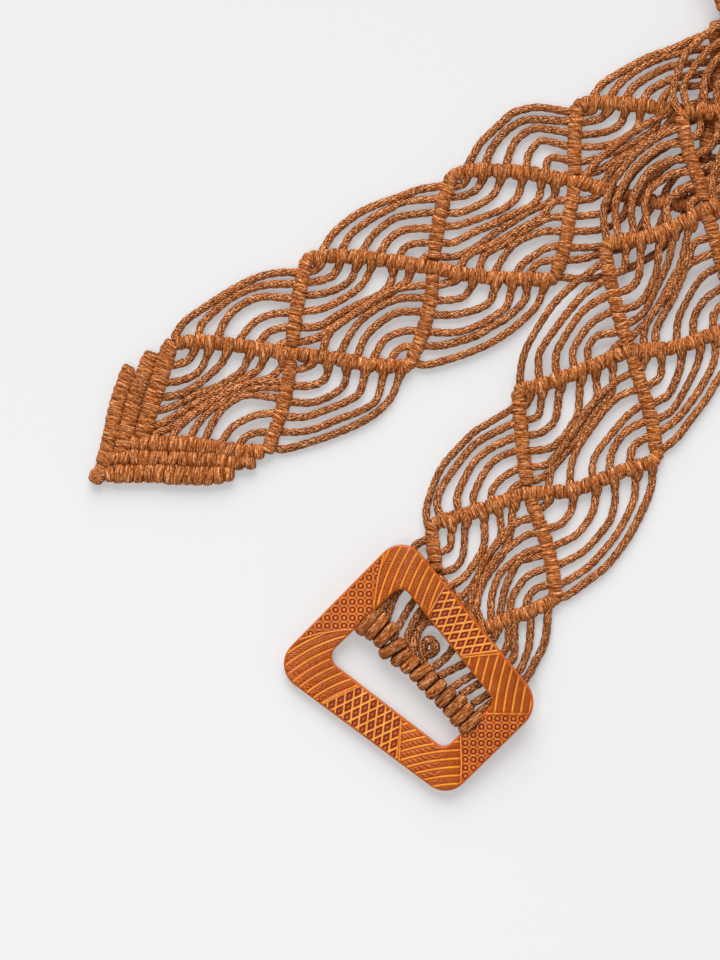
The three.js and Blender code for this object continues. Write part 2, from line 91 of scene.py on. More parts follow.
POINTED_ARM = {
    0: {"left": (172, 343), "middle": (291, 353), "right": (268, 452)},
    1: {"left": (306, 259), "middle": (433, 268), "right": (408, 368)},
    2: {"left": (450, 176), "middle": (574, 182), "right": (552, 279)},
    3: {"left": (577, 107)},
    4: {"left": (715, 27.5)},
}
BUCKLE_ARM = {
    0: {"middle": (432, 648)},
    1: {"left": (431, 530), "middle": (528, 492), "right": (555, 592)},
    2: {"left": (517, 393), "middle": (630, 348), "right": (657, 451)},
    3: {"left": (605, 246), "middle": (702, 212), "right": (752, 325)},
    4: {"left": (680, 119)},
    5: {"left": (725, 5)},
}
LOOP_START = (85.6, 119.2)
LOOP_START_HEADING = 31.1
LOOP_END = (136.8, 107.2)
LOOP_END_HEADING = 61
LOOP_CENTRE = (245, 260)
LOOP_RADIUS = 84
LOOP_REVERSE = 80

# The buckle end rises over the pointed end
LIFT = 5.7
LIFT_FLAT = 37
LIFT_FALL = 38
LIFT_FIRST = 9
LIFT_UNDER = 6

# From this crossing on, the net's left side is on the picture's right
TURNED_FROM = 12
# The crossings between these are out of sight and are modelled more coarsely
COARSE_FROM = 4
COARSE_TO = 12

rng = random.Random(7)


def px(x, y):
    return np.array([(x - PICTURE[0] / 2) * PX, (PICTURE[1] / 2 - y) * PX])


def unit(v):
    return v / math.hypot(v[0], v[1])


def across(v):
    return np.array([-v[1], v[0]])


def facing(n, towards):
    return -n if n @ towards < 0 else n


def heading_vector(angle):
    return np.array([math.cos(angle), math.sin(angle)])


def round_angles(count):
    return 2 * math.pi * np.arange(count) / count


def smooth(t):
    t = np.clip(t, 0, 1)
    return t * t * (3 - 2 * t)


def squared(wave, power):
    """A sine or cosine made blunter, so that the ring it draws is nearer to a square."""
    return np.sign(wave) * np.abs(wave) ** power


def uneven(size, low, high):
    """The size twice, each time with a random part added."""
    return size + rng.uniform(low, high), size + rng.uniform(low, high)


def bezier(a, b, c, d, count):
    t = np.linspace(0, 1, count)[:, None]
    return a * (1 - t) ** 3 + 3 * b * t * (1 - t) ** 2 + 3 * c * t * t * (1 - t) + d * t ** 3


def spline(points, step):
    """A smooth curve through the points, in even steps."""
    p = np.array(points, float)
    ends = np.vstack([2 * p[0] - p[1], p, 2 * p[-1] - p[-2]])
    out = []
    for a, b, c, d in zip(ends, ends[1:], ends[2:], ends[3:]):
        count = max(2, int(np.linalg.norm(c - b) / step) + 1)
        t = np.linspace(0, 1, count, endpoint=False)[:, None]
        out.append(0.5 * (2 * b + (c - a) * t + (2 * a - 5 * b + 4 * c - d) * t ** 2
                          + (3 * b - a - 3 * c + d) * t ** 3))
    out.append(p[-1:])
    return np.vstack(out)


def picture_curve(places, step=1.0):
    """A smooth curve through places of the picture, which may have a height as well."""
    return spline([(*px(x, y), *height) for x, y, *height in places], step)


def level(flat, z):
    """The points of a flat line at one height."""
    return np.column_stack([flat, np.full(len(flat), z)])


def run_of(line):
    """How long a line is up to each of its points."""
    return np.concatenate([[0], np.cumsum(np.linalg.norm(np.diff(line, axis=0), axis=1))])


def point_at(line, run, at):
    """The place this far along a flat line, or the places."""
    return np.stack([np.interp(at, run, line[:, 0]), np.interp(at, run, line[:, 1])], axis=-1)


def along_line(line, run, at):
    """The place this far along a line, or past its ends, and the way the line runs there."""
    middle, ahead, behind = (point_at(line, run, s) for s in (at, at + 1, at - 1))
    along_it = unit(ahead - behind)
    return middle + along_it * (min(at, 0) + max(at - run[-1], 0)), along_it


def near_line(line, points):
    """How far each point is from a bent line."""
    nearest = np.full(len(points), np.inf)
    for a, b in zip(line, line[1:]):
        a, b = np.array(a, float), np.array(b, float)
        run = b - a
        t = np.clip(((points - a) @ run) / (run @ run), 0, 1)
        off = points - a - t[:, None] * run
        nearest = np.minimum(nearest, np.hypot(off[:, 0], off[:, 1]))
    return nearest


# The middle line of the hidden stretch: straight, a reverse bend, the loop, a reverse bend, straight
def reverse_bend(point, heading, side):
    """How far the line runs straight before it bends away from the loop, and how many degrees it bends."""
    run = heading_vector(math.radians(heading))
    aside = across(run) * side
    towards = np.array(LOOP_CENTRE) - point
    span = LOOP_RADIUS + LOOP_REVERSE
    clear = towards @ aside + LOOP_REVERSE
    straight = towards @ run - math.sqrt(span * span - clear * clear)
    return straight, 90 - math.degrees(math.asin(clear / span))


def loop_stretches():
    """Length and turn in degrees of each stretch."""
    out_straight, out_turn = reverse_bend(np.array(LOOP_START), LOOP_START_HEADING, 1)
    back_straight, back_turn = reverse_bend(np.array(LOOP_END), LOOP_END_HEADING, -1)
    turn = 180 + LOOP_END_HEADING - LOOP_START_HEADING + out_turn + back_turn
    return [
        (out_straight, 0),
        (LOOP_REVERSE * math.radians(out_turn), -out_turn),
        (LOOP_RADIUS * math.radians(turn), turn),
        (LOOP_REVERSE * math.radians(back_turn), -back_turn),
        (back_straight, 0),
    ]


def loop_place(stretches, station):
    """The place and heading this far along the middle line."""
    point = np.array(LOOP_START)
    heading = math.radians(LOOP_START_HEADING)
    left = station
    for length, turn in stretches:
        part = min(left, length)
        bend = math.radians(turn) * part / length
        if turn == 0:
            point = point + heading_vector(heading) * part
        else:
            radius = length / math.radians(turn)
            centre = point + across(heading_vector(heading)) * radius
            point = centre - across(heading_vector(heading + bend)) * radius
        heading += bend
        left -= part
        if left <= 0:
            break
    return point, heading


def net_corners():
    """The crossings of the net and its edge corners to either side, each by its number."""
    net = {"left": {}, "middle": {}, "right": {}}
    stretches = loop_stretches()
    period = sum(length for length, _ in stretches) / (BACK_CROSSING - OUT_CROSSING)
    for i in range(OUT_CROSSING, BACK_CROSSING + 1):
        station = (i - OUT_CROSSING) * period
        net["middle"][i] = loop_place(stretches, station)[0]
        for name, shift, side in (("left", LEFT_SHIFT, 1), ("right", RIGHT_SHIFT, -1)):
            point, heading = loop_place(stretches, max(station - period / 2 + shift, 0))
            net[name][i] = point + across(heading_vector(heading)) * side * HALF_WIDTH
    for at, row in POINTED_ARM.items():
        for name, place in row.items():
            net[name][at] = px(*place)
    swap = {"left": ("right", 1), "right": ("left", 1), "middle": ("middle", 0)}
    for at, row in BUCKLE_ARM.items():
        for name, place in row.items():
            mine, on = swap[name]
            net[mine][LAST - at + on] = px(*place)
    return net


NET = net_corners()
UNDER = [NET["middle"][i] for i in range(LIFT_UNDER)]


def lifted(points):
    """The points raised where the buckle end lies on the pointed end."""
    away = near_line(UNDER, points[:, :2])
    rise = LIFT * (1 - smooth((away - LIFT_FLAT) / LIFT_FALL))
    return points + np.column_stack([np.zeros((len(points), 2)), rise])


# Bars that the picture shows, from edge corner to crossing, by side, corner and crossing
BARS = {
    ("left", 0, 0): [(178, 343), (200, 342), (240, 346), (291, 354)],
    ("right", 1, 0): [(403, 366.5), (370, 365), (330, 358), (291, 354)],
    ("right", 0, 0): [(267, 453), (282, 410), (290, 370), (291, 356)],
    ("left", 1, 0): [(306.5, 260.5), (300, 290), (294, 330), (291, 352)],
    ("left", 1, 1): [(311, 258.5), (320, 257), (345, 256.5), (390, 261.5), (433, 268)],
    ("right", 2, 1): [(549, 280), (510, 279), (470, 275.5), (433, 268)],
    ("left", 2, 1): [(451.5, 177), (442, 207), (436, 240), (434, 264)],
    ("right", 1, 1): [(407.5, 367.5), (421, 338), (430, 302), (433, 270)],
    ("left", 2, 2): [(458, 174), (470, 171.5), (490, 171), (530, 174), (574, 182)],
    ("right", 3, 2): [(690, 207), (655, 202), (620, 195), (598, 188), (574, 182)],
    ("left", 3, 2): [(576.5, 106.5), (574, 145), (575, 180)],
    ("right", 2, 2): [(554.5, 278.5), (564, 248), (570, 212), (575, 183)],
    ("left", 3, 3): [(583, 104.5), (591, 103.5), (604, 103.5), (640, 106), (700, 113), (717, 110)],
    ("right", 16, 15): [(434, 524), (446, 520), (480, 510), (528, 492)],
    ("left", 15, 15): [(649, 463), (620, 472), (575, 489), (528, 494)],
    ("right", 15, 15): [(517, 391), (521, 430), (527, 490)],
    ("left", 16, 15): [(556, 597), (550, 558), (539, 522), (528, 494)],
    ("right", 15, 14): [(523, 389), (545, 384), (590, 367), (630, 350)],
    ("left", 14, 14): [(752, 317), (718, 332), (675, 347.5), (630, 351)],
    ("right", 14, 14): [(603.5, 248.5), (609, 280), (619, 320), (630, 350)],
    ("left", 15, 14): [(657, 458), (651, 420), (640, 384), (630, 352)],
    ("right", 14, 13): [(609, 245), (620, 242), (640, 240), (668, 230), (702, 213)],
    ("right", 13, 13): [(680, 118.5), (686, 150), (698, 186), (702, 207)],
    ("left", 14, 13): [(752, 322), (726, 280), (711, 232), (702, 213)],
    ("right", 12, 12): [(718, -12), (720, 4), (730, 24), (757, 48), (781, 65)],
    ("right", 13, 12): [(686, 115), (696, 113), (720, 110), (782, 65)],
    ("left", 16, 16): [(551, 601), (530, 611), (500, 622), (470, 634)],
    ("right", 16, 16): [(432, 530), (433, 545), (437, 575)],
}

# Cords that the picture shows, from bar to bar, by kind of fan, place and side. None is one of its
# cords that is out of sight, and follows the formula below
CORDS = {}
CORDS["edge", 0, "left"] = [
    [(175, 336), (185, 322), (200, 311), (220, 298), (240, 286), (260, 277), (280, 273), (298, 273)],
    [(199, 333), (204, 322), (225, 303), (240, 294), (255, 288), (270, 285), (296, 284)],
    [(219, 335), (225, 322), (235, 310), (250, 301), (265, 297), (293, 299)],
    [(241, 338), (250, 327), (260, 319), (275, 314), (290, 313)],
    [(260, 342), (268, 333), (278, 329), (290, 327)],
    [(275, 348), (283, 344), (290, 341)],
]
CORDS["edge", 1, "left"] = [
    [(322, 252), (331, 237), (342, 226), (360, 213), (380, 204), (400, 197), (420, 190), (445, 186)],
    [(342, 250), (350, 236), (362, 226), (375, 217), (390, 209), (405, 202), (442, 199)],
    [(362, 252), (372, 237), (385, 225), (400, 217), (438, 212)],
    [(380, 254), (388, 241), (400, 232), (415, 229), (436, 229)],
    [(398, 258), (405, 248), (415, 244), (432, 243)],
    [(420, 263), (426, 257), (433, 256)],
]
CORDS["edge", 2, "left"] = [
    [(467, 167), (474, 154), (480, 144), (490, 134), (502, 123), (512, 114), (524, 110), (540, 108),
     (572, 113)],
    [(485, 165), (490, 152), (498, 140), (508, 130), (519, 123), (532, 120), (571, 122)],
    [(506, 165), (510, 152), (515, 142), (524, 134), (535, 129), (548, 130), (571, 134)],
    [(526, 169), (528, 156), (534, 147), (543, 141), (571, 148)],
    [(546, 170), (547, 162), (554, 158), (572, 162)],
    [(564, 176), (572, 175)],
]
CORDS["edge", 3, "left"] = [
    [(592, 99), (602, 85), (622, 72), (646, 59), (674, 49), (698, 38), (722, 33)],
    [(609, 99), (619, 85), (639, 69), (666, 57), (700, 50), (720, 50)],
    [(626, 99), (634, 87), (658, 72), (680, 65), (718, 62)],
    [(643, 101), (650, 91), (671, 80), (690, 76), (716, 74)],
    [(660, 104), (667, 93), (680, 88), (714, 85)],
    None,
]
CORDS["edge", 0, "right"] = [
    [(273, 448), (286, 449), (318, 440), (337, 433), (356, 425), (372, 416), (384, 406), (393, 394),
     (401, 371)],
    [(277, 432), (300, 432), (318, 428), (337, 420), (356, 413), (370, 406), (378, 397), (384, 371)],
    [(284, 417), (305, 417), (321, 412), (337, 406), (350, 400), (360, 392), (366, 369)],
    [(288, 402), (309, 403), (322, 400), (334, 394), (344, 385), (348, 366)],
    [(291, 386), (309, 386), (320, 383), (326, 377), (330, 364)],
    [(292, 370), (305, 368), (312, 359)],
]
CORDS["edge", 1, "right"] = [
    [(411, 362), (427, 365), (457, 357), (476, 350), (493, 342), (511, 330), (525, 318), (537, 305),
     (545, 284)],
    [(419, 346), (440, 346), (457, 342), (476, 336), (493, 326), (507, 318), (524, 301), (527, 286)],
    [(426, 332), (451, 333), (467, 330), (483, 323), (496, 315), (507, 306), (512, 284)],
    [(430, 315), (453, 315), (469, 312), (483, 307), (491, 300), (495, 283)],
    [(433, 301), (453, 300), (465, 296), (475, 280)],
    [(435, 287), (449, 282), (456, 274)],
]
CORDS["edge", 2, "right"] = [
    [(558, 277), (580, 279), (600, 277), (630, 268), (660, 250), (680, 228), (686, 205)],
    [(562, 261), (583, 259), (600, 254), (630, 246), (655, 232), (668, 203)],
    [(567, 248), (598, 247), (620, 240), (640, 228), (650, 203)],
    [(571, 232), (600, 230), (620, 220), (630, 200)],
    [(574, 217), (600, 214), (610, 208), (612, 197)],
    [(577, 201), (592, 199), (597, 193)],
]
CORDS["diamond", 0, "left"] = [
    [(168, 366), (180, 364), (190, 359), (196, 346)],
    [(164, 383), (180, 381), (195, 375), (203, 366), (210, 348)],
    [(158, 398), (178, 395), (195, 387), (210, 375), (222, 363), (228, 349)],
    [(154, 412), (175, 406), (195, 395), (215, 388), (230, 380), (243, 370), (250, 352)],
    [(150, 428), (165, 422), (185, 410), (205, 397), (225, 388), (245, 378), (258, 370), (266, 355)],
    [(156, 434), (178, 424), (200, 408), (222, 395), (245, 385), (270, 378), (283, 366)],
]
CORDS["diamond", 0, "right"] = [
    [(239, 445), (246, 437), (256, 433), (272, 432)],
    [(222, 442), (232, 428), (245, 420), (258, 415), (276, 413)],
    [(205, 440), (212, 425), (222, 410), (235, 400), (250, 395), (282, 399)],
    [(190, 438), (200, 422), (215, 407), (235, 395), (255, 388), (284, 388)],
    [(172, 436), (185, 422), (205, 407), (230, 392), (255, 382), (286, 383)],
]
CORDS["diamond", 1, "left"] = [
    [(307, 272), (316, 270), (321, 261)],
    [(304, 283), (320, 281), (333, 276), (341, 262)],
    [(302, 296), (322, 294), (340, 288), (352, 278), (357, 262)],
    [(300, 312), (322, 309), (345, 298), (362, 285), (373, 265)],
    [(297, 328), (320, 326), (340, 314), (360, 304), (380, 295), (390, 284), (395, 267)],
    [(295, 343), (318, 338), (335, 326), (355, 314), (375, 303), (395, 290), (406, 282), (412, 270)],
]
CORDS["diamond", 1, "right"] = [
    [(322, 352), (330, 333), (346, 320), (370, 303), (395, 290), (429, 285)],
    [(339, 356), (350, 335), (362, 320), (380, 307), (400, 299), (427, 298)],
    [(356, 360), (365, 338), (380, 323), (398, 313), (425, 312)],
    [(372, 362), (382, 343), (393, 335), (408, 331), (421, 332)],
    [(388, 364), (396, 352), (405, 347), (416, 347)],
]
CORDS["diamond", 2, "left"] = [
    [(450, 188), (463, 185), (465, 177)],
    [(447, 197), (459, 197), (470, 194), (478, 188), (483, 177)],
    [(443, 213), (459, 213), (473, 208), (486, 201), (495, 193), (501, 178)],
    [(440, 227), (457, 226), (473, 221), (487, 216), (502, 210), (513, 202), (519, 193), (522, 179)],
    [(438, 242), (453, 243), (475, 232), (490, 226), (505, 218), (521, 211), (533, 205), (539, 197),
     (542, 181)],
    [(437, 257), (454, 257), (467, 252), (481, 244), (497, 232), (513, 222), (529, 212), (547, 204),
     (554, 196), (557, 183)],
]
CORDS["diamond", 2, "right"] = [
    [(458, 270), (468, 256), (483, 249), (502, 240), (521, 229), (537, 221), (546, 212), (553, 203),
     (568, 200)],
    [(478, 274), (483, 258), (491, 251), (505, 244), (523, 232), (541, 222), (550, 218), (567, 217)],
    [(494, 274), (501, 261), (509, 250), (518, 242), (531, 236), (545, 232), (564, 232)],
    [(514, 276), (523, 264), (534, 256), (545, 249), (560, 246)],
    [(528, 277), (535, 266), (543, 262), (559, 260)],
]
CORDS["diamond", 3, "left"] = [
    [(580, 114), (590, 112), (593, 108)],
    [(577, 124), (594, 121), (602, 118), (607, 109)],
    [(576, 136), (598, 134), (612, 130), (621, 123), (625, 110)],
    [(576, 147), (598, 147), (614, 143), (629, 136), (637, 127), (641, 111)],
    [(577, 163), (596, 159), (612, 153), (630, 145), (644, 137), (655, 128), (659, 112)],
    [(578, 176), (596, 172), (609, 165), (625, 154), (640, 145), (658, 134), (674, 118)],
]
CORDS["edge", 15, "right"] = [
    [(429, 530), (426, 513), (429, 498), (434, 484), (440, 470), (449, 458), (472, 434), (484, 426),
     (514, 408)],
    [(443, 521), (438, 510), (437, 501), (441, 489), (449, 476), (469, 450), (481, 440), (496, 432),
     (516, 422)],
    [(460, 515), (457, 502), (459, 490), (472, 465), (483, 454), (495, 446), (517, 436)],
    [(476, 510), (473, 498), (476, 489), (481, 478), (489, 466), (500, 457), (518, 450)],
    [(492, 505), (491, 493), (496, 484), (505, 476), (519, 468)],
    [(509, 497), (512, 489), (520, 484)],
]
CORDS["edge", 14, "right"] = [
    [(519, 390), (520, 374), (522, 360), (528, 344), (546, 314), (558, 299), (572, 286), (585, 276),
     (601, 264)],
    [(539, 383), (538, 366), (540, 351), (560, 322), (572, 307), (584, 294), (602, 282)],
    [(557, 379), (555, 362), (558, 348), (576, 319), (588, 307), (607, 296)],
    [(574, 371), (572, 356), (574, 347), (582, 334), (593, 322), (611, 312)],
    [(589, 366), (587, 352), (590, 343), (598, 336), (615, 333)],
    [(609, 357), (616, 346), (620, 344)],
]
CORDS["edge", 13, "right"] = [
    [(606, 243), (602, 215), (606, 200), (612, 184), (632, 158), (645, 147), (660, 137), (677, 130)],
    [(617, 239), (614, 215), (616, 199), (630, 174), (641, 163), (652, 154), (662, 147), (680, 145)],
    [(633, 238), (630, 215), (632, 199), (646, 175), (657, 167), (669, 162), (684, 161)],
    [(647, 235), (644, 215), (644, 203), (649, 191), (660, 182), (672, 175), (689, 173)],
    [(667, 227), (665, 206), (672, 197), (681, 190), (693, 187)],
    None,
]
CORDS["edge", 12, "right"] = [
    [(680, 118), (672, 101), (672, 88), (680, 64), (688, 52), (699, 41), (710, 32), (724, 22)],
    [(687, 113), (682, 93), (686, 80), (702, 57), (714, 47), (732, 36)],
    [(704, 111), (702, 93), (704, 80), (711, 67), (720, 57), (738, 48)],
    [(716, 109), (715, 93), (718, 83), (726, 72), (744, 62)],
    None,
    None,
]
CORDS["edge", 15, "left"] = [
    [(650, 463), (652, 480), (649, 493), (643, 508), (628, 537), (608, 564), (595, 575), (569, 594),
     (557, 599)],
    [(634, 468), (635, 489), (632, 504), (617, 533), (595, 560), (581, 572), (556, 587)],
    [(612, 476), (615, 496), (613, 509), (608, 523), (588, 547), (576, 556), (554, 567)],
    [(594, 483), (595, 501), (591, 515), (583, 527), (573, 537), (549, 548)],
    [(572, 490), (572, 507), (567, 517), (559, 525), (543, 530)],
    [(548, 494), (547, 503), (535, 512)],
]
CORDS["edge", 14, "left"] = [
    [(739, 325), (733, 355), (714, 385), (706, 399), (687, 424), (678, 436), (668, 445), (657, 453)],
    [(714, 336), (714, 360), (700, 388), (682, 413), (671, 424), (655, 434)],
    [(699, 342), (698, 361), (686, 387), (671, 411), (653, 421)],
    [(681, 347), (680, 367), (670, 392), (662, 399), (649, 405)],
    [(661, 351), (661, 371), (658, 379), (645, 388)],
    [(645, 352), (642, 368), (636, 371)],
]
CORDS["diamond", 15, "right"] = [
    [(519, 408), (527, 404), (529, 391)],
    [(520, 421), (535, 418), (540, 410), (541, 388)],
    [(522, 436), (538, 434), (549, 427), (556, 416), (560, 381)],
    [(523, 452), (541, 450), (552, 447), (564, 436), (572, 424), (578, 412), (580, 373)],
    [(524, 467), (542, 466), (552, 460), (572, 432), (582, 415), (592, 404), (597, 395), (594, 367)],
    [(525, 483), (541, 478), (550, 471), (577, 439), (590, 419), (604, 402), (612, 390), (612, 360)],
]
CORDS["diamond", 15, "left"] = [
    [(547, 492), (550, 474), (554, 458), (565, 444), (593, 403), (606, 390), (620, 379), (634, 372)],
    [(570, 490), (570, 472), (573, 458), (581, 442), (601, 414), (612, 402), (622, 395), (639, 389)],
    [(592, 484), (592, 466), (597, 452), (617, 427), (628, 415), (644, 403)],
    [(609, 476), (610, 458), (614, 447), (622, 435), (633, 427), (648, 420)],
    [(629, 469), (631, 451), (637, 443), (652, 435)],
]
CORDS["diamond", 14, "right"] = [
    [(607, 278), (621, 271), (624, 263), (624, 244)],
    [(612, 295), (629, 289), (637, 279), (639, 264), (639, 242)],
    [(616, 311), (633, 307), (643, 299), (651, 284), (656, 268), (658, 235)],
    [(621, 328), (639, 317), (647, 307), (653, 293), (660, 279), (668, 259), (673, 230)],
    [(628, 340), (644, 324), (656, 309), (672, 279), (680, 263), (689, 221)],
]
CORDS["diamond", 14, "left"] = [
    [(643, 350), (644, 329), (651, 316), (669, 292), (677, 275), (687, 260), (693, 244), (713, 238)],
    [(656, 350), (656, 329), (672, 299), (680, 280), (688, 265), (717, 252)],
    [(676, 348), (677, 323), (683, 307), (700, 279), (721, 266)],
    [(693, 342), (693, 320), (699, 307), (709, 296), (729, 284)],
    [(713, 334), (713, 316), (719, 307), (737, 296)],
]
CORDS["diamond", 13, "right"] = [
    [(684, 139), (697, 135), (700, 113)],
    [(689, 159), (708, 149), (716, 135), (717, 112)],
    [(694, 172), (713, 166), (722, 158), (731, 104)],
    [(699, 188), (717, 181), (730, 170), (744, 94)],
    None,
    None,
]
CORDS["diamond", 16, "right"] = [
    [(434, 555), (449, 548), (451, 537), (451, 520)],
    [(436, 573), (453, 569), (461, 560), (464, 547), (465, 515)],
    [(446, 589), (463, 578), (473, 565), (484, 544), (483, 509)],
    [(455, 601), (471, 587), (487, 559), (495, 545), (501, 533), (498, 504)],
    [(468, 610), (478, 595), (485, 579), (502, 555), (510, 533), (513, 498)],
]
CORDS["diamond", 16, "left"] = [
    [(468, 606), (478, 575), (486, 557), (502, 539), (513, 525), (523, 520), (540, 518)],
    [(476, 609), (480, 587), (488, 570), (500, 555), (525, 536), (543, 532)],
    [(491, 621), (491, 600), (495, 584), (502, 571), (525, 553), (547, 547)],
    [(510, 619), (511, 600), (518, 587), (529, 575), (552, 566)],
    [(526, 612), (527, 600), (535, 589), (554, 583)],
    [(500, 612), (505, 588), (514, 568), (519, 561)],
]

# How the other cords of a fan sit: first and last place along their bars, from the corner to the
# crossing, and how far they run squarely out of the first bar and the second, as a part of their chord
FAN = {
    "edge": {"first": 0.07, "last": 0.9, "out": (0.27, 0.33), "inner": (0.33, 0.38)},
    "diamond": {"first": 0.09, "last": 0.92, "out": (0.30, 0.30), "inner": (0.20, 0.20)},
}
FAN_STRAY = 0.012
FAN_START = 1.4
FAN_LEAST = 3.2


def band_quads(rings, sides, closed):
    """The ring, the side and the four corners of each quad between neighbouring rings of points."""
    i = np.repeat(np.arange(rings if closed else rings - 1), sides)
    j = np.tile(np.arange(sides), len(i) // sides)
    here = i * sides
    ahead = (i + 1) % rings * sides
    aside = (j + 1) % sides
    return i, j, np.stack([here + j, here + aside, ahead + aside, ahead + j], axis=1)


def smooth_mesh(name, verts, faces, marks, uvs=None):
    """A smooth mesh of points laid out here, with named values at its points."""
    mesh = bpy.data.meshes.new(name)
    mesh.from_pydata(((verts + SHIFT) * MM).tolist(), [], faces)
    if uvs:
        mesh.uv_layers.new(name="along").data.foreach_set("uv", np.vstack(uvs).ravel())
    for title, values in marks.items():
        mesh.attributes.new(title, "FLOAT", "POINT").data.foreach_set("value", np.concatenate(values))
    mesh.polygons.foreach_set("use_smooth", [True] * len(mesh.polygons))
    mesh.update()
    return mesh


def add_object(name, data):
    thing = bpy.data.objects.new(name, data)
    bpy.context.scene.collection.objects.link(thing)
    return thing


class Weave:
    """Tubes of cord that are gathered into one mesh."""

    def __init__(self, tones=(0.4, 1.0)):
        self.range = tones
        self.verts = []
        self.faces = []
        self.uvs = []
        self.tones = []
        self.turned = []
        self.count = 0

    def tube(self, path, width, height=None, axis=None, closed=False, sides=SIDES, square=1, wrap=False,
             depth=STRAND_DEPTH):
        """Cord along a path, given half its width and height. The strands of a wrap don't turn."""
        path = np.asarray(path, float)
        n = len(path)
        width = np.broadcast_to(width, (n,))
        height = width if height is None else np.broadcast_to(height, (n,))
        tangent = np.roll(path, -1, 0) - np.roll(path, 1, 0) if closed else np.gradient(path, axis=0)
        tangent /= np.linalg.norm(tangent, axis=1)[:, None]
        if axis is None:
            side = np.cross(np.array([0, 0, 1.0]), tangent)
        else:
            axis = np.asarray(axis, float)
            side = axis - tangent * np.sum(axis * tangent, axis=1)[:, None]
        side = side / np.linalg.norm(side, axis=1)[:, None]
        run = run_of(path)
        begin = rng.random() * 50
        turn = 0 if wrap else STRAND_TURN
        angle = 2 * math.pi * (np.arange(sides) / sides + ((run + begin) * turn)[:, None])
        ridge = np.where(np.arange(sides) % 2 == 0, 1 + depth, 1 - depth)
        ring = path[:, None, :]
        up = np.cross(tangent, side)
        for wave, half, way in ((np.cos(angle), width, side), (np.sin(angle), height, up)):
            ring = ring + (squared(wave, square) * ridge * half[:, None])[:, :, None] * way[:, None, :]
        self.verts.append(ring.reshape(-1, 3))
        gap = np.linalg.norm(path[0] - path[-1]) if closed else 0
        along = (np.append(run, run[-1] + gap) + begin) * (WRAP_STRETCH if wrap else 1)
        i, j, quads = band_quads(n, sides, closed)
        self.faces += (self.count + quads).tolist()
        u1, u2, v1, v2 = along[i], along[i + 1], j / sides, (j + 1) / sides
        self.uvs.append(np.stack([u1, v1, u1, v2, u2, v2, u2, v1], axis=1).reshape(-1, 2))
        if not closed:
            for end, order in ((0, -1), (n - 1, 1)):
                self.faces.append((self.count + end * sides + np.arange(sides))[::order].tolist())
                self.uvs.append(np.tile([along[end], 0.5], (sides, 1)))
        self.tones.append(np.full(n * sides, rng.uniform(*self.range)))
        self.turned.append(np.full(n * sides, float(wrap)))
        self.count += n * sides

    def build(self, name, place=None):
        """The piece, its points moved by place if that is given."""
        verts = np.vstack(self.verts)
        if place:
            verts = place(verts)
        mesh = smooth_mesh(name, verts, self.faces, {"tone": self.tones, "turned": self.turned}, self.uvs)
        mesh.materials.append(cord_material)
        return add_object(name, mesh)


@functools.cache
def bar_line(side, corner, crossing):
    """The middle line of a half bar, from its edge corner to its crossing."""
    if crossing < 0:
        return picture_curve(POINT_ROWS[POINT_BARS[side]]["path"])
    if (side, corner, crossing) in BARS:
        return picture_curve(BARS[side, corner, crossing])
    return np.linspace(NET[side][corner], NET["middle"][crossing], 60)


def is_front(side, corner, crossing):
    """Whether the half bar is one of those that go on unbroken past their crossing."""
    return corner - crossing == (0 if side == "left" else 1)


def fan_bars(kind, i, side):
    """The two half bars of a fan, by side, corner and crossing."""
    if kind == "edge":
        return [(side, i, i), (side, i + 1, i)]
    return [(side, i, i - 1), (side, i, i)]


def fan_path(kind, i, side, k):
    """A cord of a fan by the formula, 0 next to the edge."""
    fan = FAN[kind]
    part = k / (HITCHES - 1)
    place = fan["first"] + (fan["last"] - fan["first"]) * part
    lines = [bar_line(*bar) for bar in fan_bars(kind, i, side)]
    feet = [line[int((place + rng.uniform(-FAN_STRAY, FAN_STRAY)) * (len(line) - 1))] for line in lines]
    chord = feet[1] - feet[0]
    ends = []
    for line, foot, first, inner, towards in zip(lines, feet, fan["out"], fan["inner"], (chord, -chord)):
        out = facing(across(unit(line[-1] - line[0])), towards)
        share = (first + (inner - first) * part) * np.linalg.norm(chord) * rng.uniform(0.88, 1.12)
        ends += [foot + out * FAN_START, foot + out * (FAN_START + max(share, FAN_LEAST))]
    return bezier(ends[0], ends[1], ends[3], ends[2], 24)


def fan_cords(kind, i, side):
    """The middle lines of a fan's cords, those that the picture shows and the others."""
    shown = CORDS.get((kind, i, side), [None] * HITCHES)
    return [picture_curve(path) if path else fan_path(kind, i, side, k) for k, path in enumerate(shown)]


def is_high(kind, i, side):
    """Whether the fan's cords lie on top of their bars, as those up and left of a bar do."""
    on_the_left = (side == "left") == (i < TURNED_FROM)
    return on_the_left == (kind == "edge")


def foot_on(line, point):
    """The place of a bar nearest to a point, the way out of the bar there and the way along it."""
    at = int(np.argmin(np.linalg.norm(line - point, axis=1)))
    along_it = unit(line[min(at + 2, len(line) - 1)] - line[max(at - 2, 0)])
    return line[at], facing(across(along_it), point - line[at]), along_it


# A cord's end at the top of a bar, and under one: distance from its tip, height, half thickness and width
TOP_END = np.array([(0, 2.5, 1.3, 1.6), (1.6, 2.6, 1.35, 1.55)])
UNDER_BAR = np.array([(0, 1.7, 1.3, 1.5), (3.0, 1.75, 1.45, 1.5)])
TOP_REACH = 1.1
UNDER_REACH = 0.3
BLEND = 5.0
# The height of a cord's middle on top of its bars, by kind of fan, and under them
HIGH_MIDDLE = {"edge": 1.9, "diamond": 2.5}
LOW_MIDDLE = 1.62
# How long each end is in which a cord has finer steps
FINE_END = 9.0
FINE_STEP = 0.85
STEP = 2.1
LEAST_STEP = 0.2
